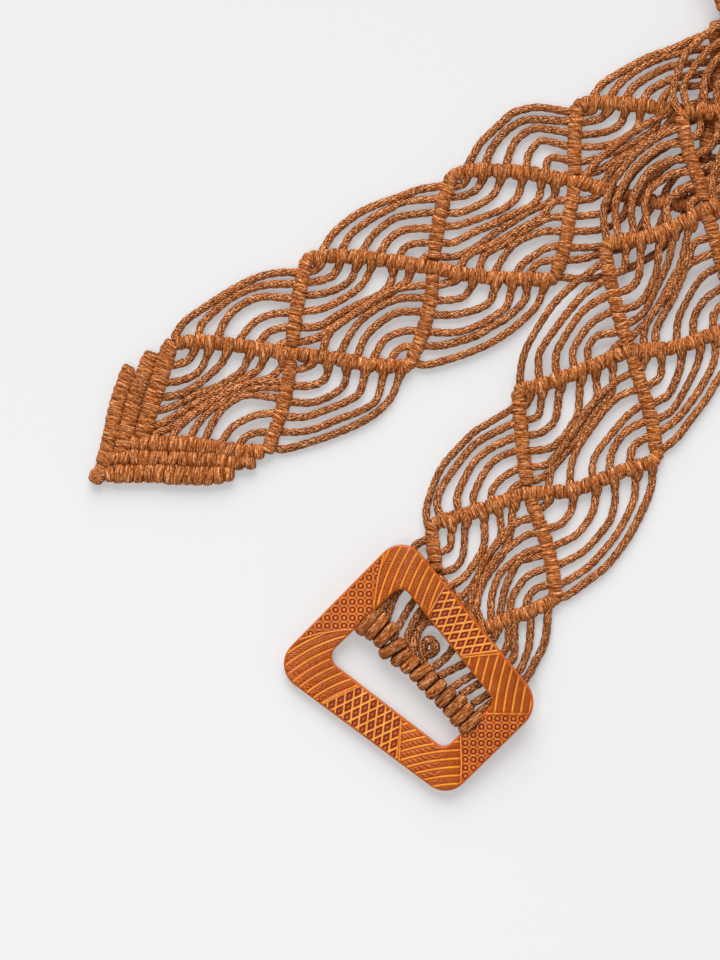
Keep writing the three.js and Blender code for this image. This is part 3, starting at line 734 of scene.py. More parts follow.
# A turn over a front bar: distance out of it, height and half width, and the cord's last part of it
TONGUE = [(-1.4, 4.3, 1.7), (0.6, 4.45, 2.0), (2.6, 3.7, 2.0)]
TONGUE_END = (5.0, 2.5, 1.15)
TONGUE_THICK = 1.0
TONGUE_LEAN = 0.45
TONGUE_MEETS = 6.4


def add_cord(weave, kind, i, side, flat, sides):
    """One cord of a fan, its ends on or under its two bars, with a tongue where it leaves a front bar."""
    high = is_high(kind, i, side)
    bars = fan_bars(kind, i, side)
    near = [np.min(np.linalg.norm(bar_line(*bar) - flat[0], axis=1)) for bar in bars]
    if near[1] < near[0]:
        bars.reverse()
    feet = [foot_on(bar_line(*bar), end) for bar, end in zip(bars, (flat[0], flat[-1]))]
    tips = [foot + out * (TOP_REACH if high else UNDER_REACH) for foot, out, _ in feet]
    rough = np.vstack([tips[0], flat, tips[1]])
    run = run_of(rough)
    total = run[-1]
    close = min(FINE_END, total / 2)
    ends = np.arange(0, close, FINE_STEP)
    middle = np.linspace(close, total - close, max(2, int((total - 2 * close) / STEP) + 1))
    at = np.concatenate([ends, middle, total - ends[::-1]])
    at = at[np.concatenate([[True], np.diff(at) > LEAST_STEP])]
    path = point_at(rough, run, at)
    height = HIGH_MIDDLE[kind] + rng.uniform(0, 0.7) if high else LOW_MIDDLE + rng.uniform(0, 0.6)
    key = TOP_END if high else UNDER_BAR
    places = np.append(key[:, 0], key[-1, 0] + BLEND)
    places *= min(total / 2 / places[-1], 1)
    z, thick, wide = (np.full(len(at), rest) for rest in (height, CORD, CORD))
    for distance in (at, total - at):
        here = distance <= places[-1]
        for values, column, rest in ((z, 1, height), (thick, 2, CORD), (wide, 3, CORD)):
            values[here] = np.interp(distance[here], places, np.append(key[:, column], rest))
    for _ in range(2):
        z[1:-1] = (z[:-2] + 2 * z[1:-1] + z[2:]) / 4
    wave = rng.uniform(0, 6.28)
    wide = wide * rng.uniform(0.98, 1.08) * (1 + 0.03 * np.sin(at / 5.5 + wave))
    weave.tube(np.column_stack([path, z]), wide, thick * rng.uniform(0.96, 1.04), sides=sides)
    if high:
        return
    for bar, foot, place in zip(bars, feet, (TONGUE_MEETS, total - TONGUE_MEETS)):
        if is_front(*bar):
            add_tongue(weave, *foot, point_at(path, at, place), sides)


def add_tongue(weave, foot, out, along_it, tip, sides):
    """The turn of a cord that comes down over its own end, under a front bar."""
    lean = rng.uniform(-0.9, 0.5)
    line = [(*(foot + out * away + along_it * lean), height) for away, height, _ in TONGUE]
    away, height, narrow = TONGUE_END
    line.append((*(TONGUE_LEAN * tip + (1 - TONGUE_LEAN) * (foot + out * away)), height))
    wide = [w for _, _, w in TONGUE] + [narrow]
    curve = spline(line, 1.2)
    widths = np.interp(np.linspace(0, len(wide) - 1, len(curve)), range(len(wide)), wide)
    weave.tube(curve, widths * rng.uniform(0.92, 1.08), TONGUE_THICK, sides=sides, wrap=True,
               depth=WRAP_STRAND_DEPTH)


def add_wrap(weave, middle, run, half, wide, slant, z, square=0.9, size=1, detail=WRAP_DETAIL[True]):
    """One turn of cord round a bar. wide is how far its middle line goes out to either side."""
    steps, sides = detail
    cos = np.cos(round_angles(steps))
    sin = np.sin(round_angles(steps))
    reach = squared(cos, WRAP_SQUARE) * np.where(cos > 0, wide[0], wide[1]) * size
    rise = squared(sin, WRAP_SQUARE) * np.where(sin > 0, WRAP_UP, WRAP_DOWN) * size
    flat = middle + run * (slant * cos)[:, None] + across(run) * reach[:, None]
    weave.tube(np.column_stack([flat, z + rise]), half, WRAP_THICK, axis=(*run, 0), closed=True, sides=sides,
               square=square, wrap=True, depth=WRAP_STRAND_DEPTH)


# The wraps of a half bar, by whether it is a front one: how far they start and end past its corner
# and its crossing, their pitch, how far they go out, how far they lie lower and are wider than
# others, how square their cord is, and the size of the last one
HALF_BARS = {
    True: {"start": -0.9, "end": 0.6, "pitch": 3.8, "across": 2.0, "lower": 0, "wider": 0, "square": 0.95,
           "last": 1},
    False: {"start": 0.3, "end": -2.0, "pitch": 3.2, "across": 1.82, "lower": 0.15, "wider": 0.15,
            "square": 0.8, "last": 0.88},
}
FIRST_SIZE = 0.92


def add_half_bar(weave, bar, fine):
    """The wraps on the holding cord between an edge corner and a crossing."""
    line = bar_line(*bar)
    run = run_of(line)
    kind = HALF_BARS[is_front(*bar)]
    length = run[-1] + kind["end"] - kind["start"]
    count = round(length / kind["pitch"])
    pitch = length / count
    for k in range(count):
        middle, along_it = along_line(line, run, kind["start"] + (k + 0.5) * pitch)
        wide = uneven(kind["across"], -0.12, 0.15)
        z = BAR_MIDDLE - kind["lower"] + rng.uniform(-0.08, 0.08)
        slant = rng.uniform(-0.05, 0.2) * pitch
        half = pitch / 2 + rng.uniform(0.1, 0.3) + kind["wider"]
        size = FIRST_SIZE if k == 0 else kind["last"] if k == count - 1 else 1
        add_wrap(weave, middle, along_it, half, wide, slant, z, kind["square"], size, WRAP_DETAIL[fine])
    weave.tube(level(line[::6], BAR_MIDDLE), BAR_CORE, sides=COARSE_SIDES)


# The knot of an edge corner: how far it goes out, lies lower and reaches past the bars' ends, and its size
CORNER = {"across": 1.75, "lower": 0.1, "past": 0.45, "least": 1.6, "size": 0.97}


def add_corner(weave, side, i, fine):
    """The knot where the holding cord bends from one bar of an edge corner into the other."""
    first, second = bar_line(side, i, i), bar_line(side, i, i - 1)
    run = unit(unit(first[2] - first[0]) - unit(second[2] - second[0]))
    half = max(np.linalg.norm(first[0] - second[0]) / 2 + CORNER["past"], CORNER["least"])
    add_wrap(weave, (first[0] + second[0]) / 2, run, half, [CORNER["across"]] * 2, 0,
             BAR_MIDDLE - CORNER["lower"], size=CORNER["size"], detail=WRAP_DETAIL[fine])


def add_period(weave, i):
    """Crossing i with its four half bars, its two edge fans and the diamond before it."""
    fine = not COARSE_FROM <= i < COARSE_TO
    for side in ("left", "right"):
        for kind in ("diamond", "edge") if i < LAST else ("diamond",):
            for flat in fan_cords(kind, i, side):
                add_cord(weave, kind, i, side, flat, SIDES if fine else COARSE_SIDES)
        add_half_bar(weave, (side, i, i), fine)
        if i < LAST:
            add_half_bar(weave, (side, i + 1, i), fine)
        if i > 0:
            add_corner(weave, side, i, fine)


# The point: three nested rows of knots on each side, and the knob at its tip. For each row, half its
# width and its pitch in picture points, and how much wider its turns are than half the pitch
POINT_ROWS = [
    {"path": [(101, 472), (107, 450), (112, 430), (116, 410), (122, 390), (127.5, 374), (130, 367)],
     "half": 8.0, "pitch": 7.4, "wider": 0.15},
    {"path": [(119, 454), (123, 444), (127, 430), (132, 410), (138, 390), (145.5, 370), (152, 353)],
     "half": 8.6, "pitch": 7.4, "wider": 0.15},
    {"path": [(141, 438), (143.5, 434), (148.5, 416), (153, 400), (159.5, 380), (165, 360), (173, 342)],
     "half": 9.3, "pitch": 7.4, "wider": 0.15},
    {"path": [(105, 474), (120, 473.5), (150, 473), (180, 475), (210, 475), (234, 473)],
     "half": 10.2, "pitch": 9.8, "wider": 0},
    {"path": [(111, 458), (150, 457.5), (190, 459), (210, 459.5), (232, 462), (255, 462.5)],
     "half": 8.3, "pitch": 9.6, "wider": 0},
    {"path": [(130, 443), (150, 443.5), (180, 444), (200, 446), (220, 448.5), (240, 451.5), (264, 452)],
     "half": 8.7, "pitch": 9.6, "wider": 0},
]
# Those of the rows that bound the first diamond
POINT_BARS = {"left": 2, "right": 5}
ROW_END_SIZE = 0.8
KNOB = (98, 476)
KNOB_UP = 0.15
# The knob's turns: heading in degrees, lean in radians and radius, which is made smaller sideways
KNOB_TURNS = [(20, 0.0, 3.5), (100, 0.4, 3.3), (60, -0.5, 3.1), (150, 0.2, 3.2)]
KNOB_SIDEWAYS = 0.8
KNOB_HALF_HEIGHT = 1.75
KNOB_HALF = 1.45
KNOB_THICK = 1.0


def add_row(weave, row):
    """A row of knots along a bent line, each a turn of cord round it."""
    line = picture_curve(row["path"], 0.5)
    run = run_of(line)
    count = round(run[-1] / (row["pitch"] * PX))
    pitch = run[-1] / count
    for k in range(count):
        middle, along_it = along_line(line, run, (k + 0.5) * pitch)
        wide = uneven(row["half"] * PX - WRAP_THICK, -0.15, 0.2)
        slant = rng.uniform(-0.08, 0.22) * pitch
        half = pitch / 2 + rng.uniform(0.15, 0.3) + row["wider"]
        z = BAR_MIDDLE + rng.uniform(-0.12, 0.12)
        size = ROW_END_SIZE if k in (0, count - 1) else 1
        add_wrap(weave, middle, along_it, half, wide, slant, z, size=size)
    weave.tube(level(line[::4], BAR_MIDDLE), BAR_CORE)


def add_knob(weave):
    """The knob: the holding cords' last knot, a ball of turns."""
    middle = np.append(px(*KNOB), BAR_MIDDLE + KNOB_UP)
    t = round_angles(20)[:, None]
    for angle, lean, radius in KNOB_TURNS:
        one = np.append(heading_vector(math.radians(angle)), 0)
        two = np.append(across(one) * math.sin(lean), math.cos(lean))
        path = middle + np.cos(t) * one * radius * KNOB_SIDEWAYS + np.sin(t) * two * KNOB_HALF_HEIGHT
        weave.tube(path, KNOB_HALF, KNOB_THICK, axis=np.cross(one, two), closed=True, wrap=True)


# The buckle leans on the net: it is turned about the line along its centre bar through its far side
BAR_ENDS = ((-2.4, -52.4), (46.8, -102.6))
TILT = 6
TILT_EDGE = (-26.8, -80.8)
CENTRE_BAR_MIDDLE = 1.9


def tilt(points):
    """The points turned with the buckle."""
    run = unit(np.array(BAR_ENDS[1]) - np.array(BAR_ENDS[0]))
    aside = across(run)
    off = points[:, :2] - np.array(TILT_EDGE)
    away = off @ aside
    cos, sin = math.cos(math.radians(TILT)), math.sin(math.radians(TILT))
    turned = away * cos - points[:, 2] * sin
    flat = np.array(TILT_EDGE) + (off @ run)[:, None] * run + turned[:, None] * aside
    return np.column_stack([flat, away * sin + points[:, 2] * cos])


# Turns of cord round the centre bar: the far tip of each and its near end
BAR_TURNS = [
    ((358, 633), (377, 611)), ((367, 638), (388, 613)), ((376, 645), (397, 622)),
    ((380, 655), (406, 639)), ((392, 663), (412, 649)), ((402, 670), (419, 656)),
    ((411, 678), (431, 663)), ((419, 687), (437, 671)), ((427, 696), (446, 679)),
    ((437, 705), (455, 687)), ((445, 714), (466, 694)), ((452, 723), (473, 703)),
    ((460, 731), (482, 711)),
]
TURN_HALF = 2.3
TURN_THICK = 1.5
TURN_RISE = 2.7
TURN_SQUARE = 0.8


def add_bar_turns(weave):
    """The turns on the centre bar, before they are tilted with it."""
    t = round_angles(24)
    for tip, near in BAR_TURNS:
        a, b = px(*tip), px(*near)
        run = unit(b - a)
        reach = squared(np.cos(t), TURN_SQUARE) * (np.linalg.norm(b - a) / 2 - TURN_THICK)
        rise = squared(np.sin(t), TURN_SQUARE) * TURN_RISE
        z = CENTRE_BAR_MIDDLE + rise + rng.uniform(-0.2, 0.2)
        path = np.column_stack([(a + b) / 2 + run * reach[:, None], z])
        weave.tube(path, TURN_HALF + rng.uniform(-0.15, 0.15), TURN_THICK, axis=(*across(run), 0),
                   closed=True, sides=16, wrap=True, depth=WRAP_STRAND_DEPTH)


# Cords between the wraps and the last bars, as (px, px, height) from the buckle outwards
LEADS = [
    [(371, 622, 7.5), (384, 604, 6.6), (392, 590, 4.5), (404, 570, 3.5), (409, 556, 3.0),
     (416, 545, 3.0), (428, 539, 3.0)],
    [(384, 628, 6.5), (389, 612, 4.5), (395, 596, 3.6), (412, 575, 3.2), (432, 560, 2.6)],
    [(392, 640, 7.0), (399, 625, 4.8), (410, 606, 4.2), (421, 592, 4.0), (436, 575, 3.4)],
    [(404, 648, 6.6), (409, 632, 4.4), (418, 614, 4.2), (428, 602, 4.0), (446, 586, 3.4)],
    [(407, 652, 6.2), (414, 636, 3.4), (424, 616, 3.0), (436, 606, 2.8), (450, 592, 2.4)],
    [(412, 658, 6.5), (415, 643, 4.6), (420, 628, 4.4), (430, 621, 4.4), (441, 626, 3.8),
     (452, 632, 3.0), (468, 628, 2.6)],
    [(430, 669, 7.0), (440, 662, 4.8), (450, 652, 4.2), (457, 640, 3.8), (470, 628, 3.2)],
    [(438, 676, 6.8), (452, 669, 4.8), (466, 662, 4.4), (482, 652, 4.0), (496, 634, 3.2),
     (500, 622, 2.8)],
    [(450, 688, 7.0), (463, 680, 5.0), (477, 672, 4.6), (494, 662, 4.2), (507, 645, 3.4),
     (508, 622, 3.0)],
    [(460, 694, 6.8), (474, 686, 5.0), (487, 678, 4.8), (503, 668, 4.4), (513, 657, 3.8),
     (514, 643, 3.4), (514, 622, 3.0)],
    [(472, 703, 6.8), (484, 696, 5.0), (496, 688, 4.8), (512, 679, 4.4), (521, 667, 4.0), (525, 657, 3.6),
     (529, 643, 3.4), (531, 612, 2.8)],
    [(478, 712, 6.6), (490, 703, 5.0), (502, 694, 4.6), (518, 686, 4.2), (529, 673, 3.6), (535, 661, 3.2),
     (542, 648, 3.0), (546, 633, 2.8), (548, 606, 2.4)],
]
# The cord that ends in a curl, as the leads
CURL = [(424, 666, 4.6), (422.3, 657, 5.0), (422.6, 648, 5.4), (424.5, 642, 5.7), (429, 639.5, 5.9),
        (433.8, 642, 5.9), (435, 647, 5.8), (433.5, 651.5, 5.5), (429.5, 653.5, 5.0), (425, 654, 3.8)]
CURL_RADIUS = 1.9


def add_leads(weave):
    for lead in LEADS:
        weave.tube(picture_curve(lead, 1.6), CORD * rng.uniform(1.0, 1.1))
    weave.tube(picture_curve(CURL, 1.2), CURL_RADIUS)


class Nodes:
    """A short way to build a material's nodes."""

    def __init__(self, name):
        self.material = bpy.data.materials.new(name)
        self.material.use_nodes = True
        self.tree = self.material.node_tree

    def put(self, node, name, value):
        socket = node.inputs[name]
        if isinstance(value, bpy.types.NodeSocket):
            self.tree.links.new(value, socket)
        else:
            socket.default_value = value

    def add(self, kind, settings=None, **inputs):
        """A node with its settings and inputs, which are given by name or as _ and their number."""
        node = self.tree.nodes.new(kind)
        for name, value in (settings or {}).items():
            setattr(node, name, value)
        for name, value in inputs.items():
            self.put(node, int(name[1:]) if name[0] == "_" else name, value)
        return node

    def math(self, operation, a, b=0.5):
        return self.add("ShaderNodeMath", {"operation": operation}, _0=a, _1=b).outputs[0]

    def plus(self, a, b):
        return self.math("ADD", a, b)

    def minus(self, a, b):
        return self.math("SUBTRACT", a, b)

    def times(self, a, b):
        return self.math("MULTIPLY", a, b)

    def attribute(self, name):
        return self.add("ShaderNodeAttribute", {"attribute_name": name}).outputs["Fac"]

    def place(self):
        return self.add("ShaderNodeTexCoord").outputs["Object"]

    def noise(self, vector, scale, detail, roughness=0.5):
        return self.add("ShaderNodeTexNoise", Vector=vector, Scale=scale, Detail=detail,
                        Roughness=roughness).outputs["Fac"]

    def ramp(self, factor, stops):
        node = self.add("ShaderNodeValToRGB", Fac=factor)
        elements = node.color_ramp.elements
        while len(elements) < len(stops):
            elements.new(0.5)
        for element, (place, colour) in zip(elements, stops):
            element.position = place
            element.color = (*colour, 1)
        return node.outputs["Color"]

    def tint(self, colour, factor, stops):
        """The colour times that of a ramp."""
        return self.add("ShaderNodeMix", {"data_type": "RGBA", "blend_type": "MULTIPLY"}, _0=1.0, _6=colour,
                        _7=self.ramp(factor, stops)).outputs[2]

    def bump(self, strength, distance, height):
        return self.add("ShaderNodeBump", Strength=strength, Distance=distance, Height=height).outputs[0]

    def surface(self, sockets):
        """The material, with these values in its shader."""
        for name, value in sockets.items():
            self.put(self.tree.nodes["Principled BSDF"], name, value)
        return self.material


# The braid: how many yarns run each way round a cord, and how far along it one takes to go round
YARNS = 7
YARN_PITCH = 14


def make_cord_material():
    n = Nodes("waxed_cord")
    uv = n.add("ShaderNodeUVMap", {"uv_map": "along"}).outputs["UV"]
    parts = n.add("ShaderNodeSeparateXYZ", Vector=uv)
    along, round_it = parts.outputs["X"], parts.outputs["Y"]
    tone = n.attribute("tone")
    turned = n.attribute("turned")
    # Flecks that are drawn out along the cord, other ones on each cord: the cord's own uneven colour, and at
    # their lightest, painted glints
    turn = n.times(round_it, 2 * math.pi)
    girth = n.plus(1.5, n.times(turned, 1.3))
    lie = n.add("ShaderNodeCombineXYZ", X=n.times(along, 0.42), Y=n.times(n.math("SINE", turn), girth),
                Z=n.times(n.math("COSINE", turn), girth)).outputs[0]
    other = n.add("ShaderNodeCombineXYZ", X=n.times(tone, 37.0)).outputs[0]
    apart = n.add("ShaderNodeVectorMath", {"operation": "ADD"}, _0=lie, _1=other).outputs[0]
    fleck = n.noise(apart, 2.4, 3.0, 0.7)
    slow = n.noise(apart, 0.35, 1.0)
    # A braid: two families of yarns that run round it opposite ways and take turns on top. In the colour,
    # the hollows between the yarns are painted shade
    yarns = n.times(round_it, 2 * math.pi * YARNS)
    travel = n.times(along, 2 * math.pi * YARNS / YARN_PITCH)
    one = n.plus(yarns, travel)
    two = n.minus(yarns, travel)
    on_top = n.math("GREATER_THAN", n.times(n.math("SINE", one), n.math("SINE", two)), 0.0)
    ridge_one, ridge_two = (n.times(n.plus(n.math("COSINE", way), 1.0), 0.5) for way in (one, two))
    braid = n.plus(n.times(ridge_one, on_top), n.times(ridge_two, n.minus(1.0, on_top)))
    grain = n.noise(n.place(), 1100.0, 2.0, 0.6)
    # Wraps have less of the braid
    fleck_share = n.minus(0.72, n.times(turned, 0.10))
    braid_share = n.minus(0.12, n.times(turned, 0.09))
    mixed = n.plus(n.times(braid, braid_share), n.times(n.minus(fleck, 0.5), fleck_share))
    mixed = n.plus(n.plus(mixed, n.times(grain, 0.2)), n.plus(0.34, n.times(turned, 0.055)))
    # The cord's own colours, from dark to light; the palest stop is painted highlight, the glints of the wax
    colour = n.ramp(mixed, [(0.405, (0.030, 0.003, 0.0004)), (0.465, (0.29, 0.062, 0.006)),
                            (0.55, (0.56, 0.18, 0.040)), (0.62, (1.0, 0.58, 0.31))])
    # Each cord is lighter or darker than the next, and changes along its length. The darkest tones, given to
    # the turns and leads, are painted shade
    colour = n.tint(colour, tone, [(0.0, (0.68, 0.66, 0.64)), (0.4, (0.86, 0.86, 0.86)),
                                   (1.0, (1.08, 1.06, 1.05))])
    colour = n.tint(colour, slow, [(0.35, (0.88, 0.86, 0.84)), (0.65, (1.10, 1.10, 1.10))])
    # Painted shade: turns are darker at their sides, in the creases where they press on each other
    aside = n.times(n.math("ABSOLUTE", n.math("COSINE", turn)), turned)
    colour = n.tint(colour, aside, [(0.80, (1.05, 1.05, 1.05)), (0.98, (0.36, 0.29, 0.25))])
    return n.surface({
        "Base Color": colour,
        "Roughness": n.plus(n.times(fleck, -0.25), 0.66),
        "Specular IOR Level": 0.14,
        "Normal": n.bump(0.9, 0.0005, n.plus(n.times(braid, 0.5), n.times(fleck, 0.8))),
    })


def make_floor_material():
    return Nodes("floor").surface({
        "Base Color": (0.475, 0.476, 0.477, 1),
        "Roughness": 0.9,
        "Specular IOR Level": 0.0,
        "Emission Color": (1, 1, 1, 1),
        "Emission Strength": 0.306,
    })


# The buckle's frame: corners in order top, right, bottom, left
FRAME_CORNERS = [
    {"outer": (17.6, -20.4), "outer_radius": 10, "inner": (17.0, -41.1), "inner_radius": 4},
    {"outer": (73.6, -88.8), "outer_radius": 12, "inner": (54.3, -87.8), "inner_radius": 4},
    {"outer": (35.2, -126.8), "outer_radius": 10, "inner": (33.9, -107.0), "inner_radius": 4},
    {"outer": (-35.6, -74.4), "outer_radius": 10.5, "inner": (-13.6, -70.6), "inner_radius": 5},
]
FRAME_THICK = 4.0
FRAME_ROUND = 0.7
SIDE_STEPS = 255
CORNER_STEPS = 30
FACE_STEPS = 66
RELIEF_EDGE = 0.5
RELIEF_SUNK = 0.05


def rounded_outline(name):
    """Points round the outline, as many on each side and in each corner whatever its size."""
    corners = [np.array(c[name], float) for c in FRAME_CORNERS]
    radii = [c[name + "_radius"] for c in FRAME_CORNERS]
    arcs = []
    for i, corner in enumerate(corners):
        in1 = unit(corners[i - 1] - corner)
        in2 = unit(corners[(i + 1) % 4] - corner)
        half = math.acos(in1 @ in2) / 2
        centre = corner + unit(in1 + in2) * radii[i] / math.sin(half)
        start = corner + in1 * radii[i] / math.tan(half) - centre
        sweep = math.pi - 2 * half
        sign = math.copysign(1, -in1[0] * in2[1] + in1[1] * in2[0])
        angles = sign * sweep * np.linspace(0, 1, CORNER_STEPS)
        arcs.append(np.stack([centre[0] + start[0] * np.cos(angles) - start[1] * np.sin(angles),
                              centre[1] + start[0] * np.sin(angles) + start[1] * np.cos(angles)], 1))
    line = []
    for i, arc in enumerate(arcs):
        t = np.linspace(0, 1, SIDE_STEPS + 2)[1:-1, None]
        line += [arc, arc[-1] * (1 - t) + arcs[(i + 1) % 4][0] * t]
    return np.vstack(line)


def inside(zone, points):
    """Whether each point lies in the zone."""
    odd = np.zeros(len(points), bool)
    for (x1, y1), (x2, y2) in zip(zone, zone[1:] + zone[:1]):
        crosses = (y1 > points[:, 1]) != (y2 > points[:, 1])
        with np.errstate(divide="ignore", invalid="ignore"):
            at = (x2 - x1) * (points[:, 1] - y1) / (y2 - y1) + x1
        odd ^= crosses & (points[:, 0] < at)
    return odd


# Carving, placed by the picture. Ribs run round a far centre, so that they curve a little
RIBS = [
    {"zone": [(270, 640), (298, 640), (320, 632), (345, 628), (360, 626), (362, 655), (362, 684),
              (345, 690), (322, 702), (300, 712), (262, 660)],
     "centre": (385, 789), "pitch": 8.6},
    {"zone": [(384, 540), (385, 553), (379, 577), (375, 603), (375, 612), (400, 600), (430, 617),
              (446, 583), (460, 570), (430, 530)],
     "centre": (581.8, 649.8), "pitch": 8.5},
    {"zone": [(455, 655), (463, 655), (500, 651), (512, 650), (550, 690), (540, 712), (485, 711),
              (470, 714)],
     "centre": (790, 744), "pitch": 8.6},
    {"zone": [(402, 700), (402, 716), (400, 757), (400, 780), (440, 800), (461, 800), (461, 733),
              (440, 730)],
     "centre": (468, 962), "pitch": 8.4},
]
# Lines in two families: for each, the level x * first + y * second of one line and the step to the next
LATTICES = [
    {"zone": [(318, 704), (345, 690), (358, 683), (368, 680), (410, 705), (401, 715), (400, 757),
              (398, 780)],
     "families": [((0.5, 1), 864.7, 10.0), ((1, 0.12), 421.2, 8.35)]},
    {"zone": [(420, 614), (430, 617), (446, 583), (460, 570), (520, 640), (500, 649), (461, 654),
              (450, 655)],
     "families": [((0.155, 1), 684.5, 8.14), ((1, 0.4), 694.9, 9.2)]},
]
RINGS = [
    {"zone": [(280, 640), (298, 639), (320, 632), (345, 628), (360, 626), (380, 612), (375, 603),
              (379, 577), (385, 553), (384, 535)],
     "from": (345.2, 608.3), "step": (8.35, 8.05)},
    {"zone": [(461, 730), (470, 714), (485, 711), (545, 712), (540, 730), (480, 800), (461, 790)],
     "from": (490, 741), "step": (8.0, 8.25)},
]
BORDERS = [
    [(288, 643), (298, 639), (320, 632), (345, 628), (362, 627)],
    [(385, 545), (385, 553), (379, 577), (375, 603), (376, 612)],
    [(424, 622), (446, 583), (452, 572)],
    [(456, 656), (463, 655), (500, 651), (506, 650)],
    [(480, 712), (485, 711), (535, 711)],
    [(461, 730), (462, 760), (461, 786)],
    [(402, 710), (402, 716), (400, 757), (399, 762)],
    [(318, 704), (345, 690), (360, 682)],
]
# The knurls' step along a rib
KNURL_PITCH = 2.5


def bump_near(distance, width):
    return np.clip(1 - np.abs(distance) / width, 0, 1)


def carving(points):
    """Height, gold, place along a knurled band and how knurled it is, at these places of the picture."""
    height = np.full(len(points), 0.2)
    gold = np.full(len(points), 0.6)
    knurl_at = np.zeros(len(points))
    knurled = np.zeros(len(points))
    for ribs in RIBS:
        here = inside(ribs["zone"], points)
        off = points[here] - np.array(ribs["centre"])
        far = np.hypot(off[:, 0], off[:, 1])
        turned = np.arctan2(off[:, 1], off[:, 0]) * np.mean(far)
        phase = far / ribs["pitch"] + 0.5
        part = (phase - np.round(phase)) * ribs["pitch"]
        stripe = smooth(1.45 - np.abs(part))
        groove = bump_near(np.abs(part) - 1.9, 0.9)
        band = np.clip((np.abs(part) - 1.5) / 0.9, 0, 1)
        knurl_at[here] = turned / KNURL_PITCH + 0.2 * part
        knurled[here] = band
        knurls = 0.1 * np.sin(2 * math.pi * knurl_at[here])
        height[here] = 0.10 + 0.20 * stripe - 0.06 * groove + band * (0.16 + knurls)
        gold[here] = 0.45 + 0.34 * stripe - 0.20 * groove
    for lattice in LATTICES:
        here = inside(lattice["zone"], points)
        to_line = []
        to_middle = []
        for slope, first, step in lattice["families"]:
            value = (points[here] @ np.array(slope, float) - first) / step
            share = np.abs(value - np.round(value))
            apart = step / math.hypot(*slope)
            to_line.append(share * apart)
            to_middle.append(np.abs(share - 0.5) * apart)
        ridge = smooth(1.4 - np.minimum(*to_line) / 1.2)
        boss = smooth(1.5 - np.hypot(*to_middle) / 1.35)
        height[here] = 0.42 * ridge + 0.24 * boss
        gold[here] = 0.04 + 0.80 * ridge + 0.50 * boss
    for rings in RINGS:
        here = inside(rings["zone"], points)
        off = (points[here] - np.array(rings["from"])) / np.array(rings["step"])
        part = (off - np.round(off)) * np.array(rings["step"])
        far = np.hypot(part[:, 0], part[:, 1])
        rim = bump_near(far - 3.9, 1.0)
        boss = smooth(1.6 - far / 1.5)
        outer = smooth((far - 3.1) / 0.8)
        height[here] = 0.12 * outer + 0.20 * rim + 0.30 * boss
        gold[here] = 0.05 + 0.26 * outer + 0.50 * rim + 0.62 * boss
    for line in BORDERS:
        away = near_line(line, points)
        edge = bump_near(away, 1.6)
        height = np.maximum(height, 0.36 * edge)
        gold = np.maximum(gold * (1 - 0.45 * bump_near(away, 3.2)), 0.95 * edge)
    return height, np.clip(gold, 0, 1), knurl_at, knurled


def buckle_rows(width):
    """Rows of points round the frame, over its face and back under it: share of the way from the
    inner outline to the outer one, height, and whether the row is carved."""
    arc = np.linspace(0, math.pi / 2, 6)[:-1]
    top_edge = list(zip(FRAME_ROUND * (1 - np.cos(arc)), FRAME_THICK - FRAME_ROUND * (1 - np.sin(arc))))
    low_edge = [(0.0, FRAME_ROUND * 0.8), (0.35 * FRAME_ROUND, 0.25), (FRAME_ROUND, 0.0)]
    inset = FRAME_ROUND / width
    rows = [(d / width, z, False) for d, z in top_edge]
    rows += [(inset + (1 - 2 * inset) * t, FRAME_THICK, True) for t in np.linspace(0, 1, FACE_STEPS)]
    rows += [(1 - d / width, z, False) for d, z in top_edge[::-1] + low_edge]
    rows += [(np.full(len(width), share), 0.0, False) for share in (0.7, 0.3)]
    return rows + [(d / width, z, False) for d, z in low_edge[::-1]]


def buckle_mesh():
    """The frame with its carving, and the marks that its material reads."""
    outer = rounded_outline("outer")
    inner = rounded_outline("inner")
    around = len(outer)
    width = np.linalg.norm(outer - inner, axis=1)
    rows = buckle_rows(width)
    verts = []
    marks = {"gold": [], "knurl_at": [], "knurled": []}
    for share, height, carved in rows:
        flat = inner + (outer - inner) * share[:, None]
        z = np.full(around, height)
        values = np.full(around, 0.5), np.zeros(around), np.zeros(around)
        if carved:
            picture = np.column_stack([flat[:, 0] / PX + PICTURE[0] / 2, PICTURE[1] / 2 - flat[:, 1] / PX])
            relief, gold, knurl_at, knurled = carving(picture)
            to_edge = np.minimum(share, 1 - share) * width - FRAME_ROUND
            fade = smooth(to_edge / RELIEF_EDGE + 0.35)
            z = z + relief * fade - RELIEF_SUNK
            values = gold * (0.4 + 0.6 * fade) + 0.3 * (1 - fade), knurl_at, knurled
        verts.append(np.column_stack([flat, z]))
        for row, value in zip(marks.values(), values):
            row.append(value)
    quads = band_quads(len(rows), around, True)[2]
    return smooth_mesh("slide_buckle_carved", tilt(np.vstack(verts)), quads[:, [0, 3, 2, 1]].tolist(), marks)


def make_buckle_material():
    n = Nodes("carved_buckle")
    mottle = n.noise(n.place(), 260.0, 3.0)
    cloud = n.noise(n.place(), 38.0, 2.0)
    knurl = n.times(n.math("SINE", n.times(n.attribute("knurl_at"), 2 * math.pi)), n.attribute("knurled"))
    lit = n.plus(n.attribute("gold"), n.times(n.minus(mottle, 0.5), 0.25))
    lit = n.plus(lit, n.times(knurl, 0.24))
    colour = n.ramp(lit, [(0.0, (0.11, 0.003, 0.0002)), (0.34, (0.37, 0.050, 0.003)),
                          (0.60, (0.58, 0.135, 0.005)), (0.80, (0.78, 0.29, 0.020)),
                          (1.0, (0.95, 0.53, 0.15))])
    return n.surface({
        "Base Color": n.tint(colour, cloud, [(0.3, (0.90, 0.86, 0.82)), (0.7, (1.08, 1.06, 1.04))]),
        "Roughness": 0.25,
        "Specular IOR Level": 0.27,
        "Normal": n.bump(0.6, 0.0002, n.plus(n.times(mottle, 0.5), knurl)),
    })


def dress(piece, node=None):
    """Puts a piece on the body, in the place of a node if one is given."""
    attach(piece, "root")
    if node:
        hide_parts(node)


cord_material = make_cord_material()

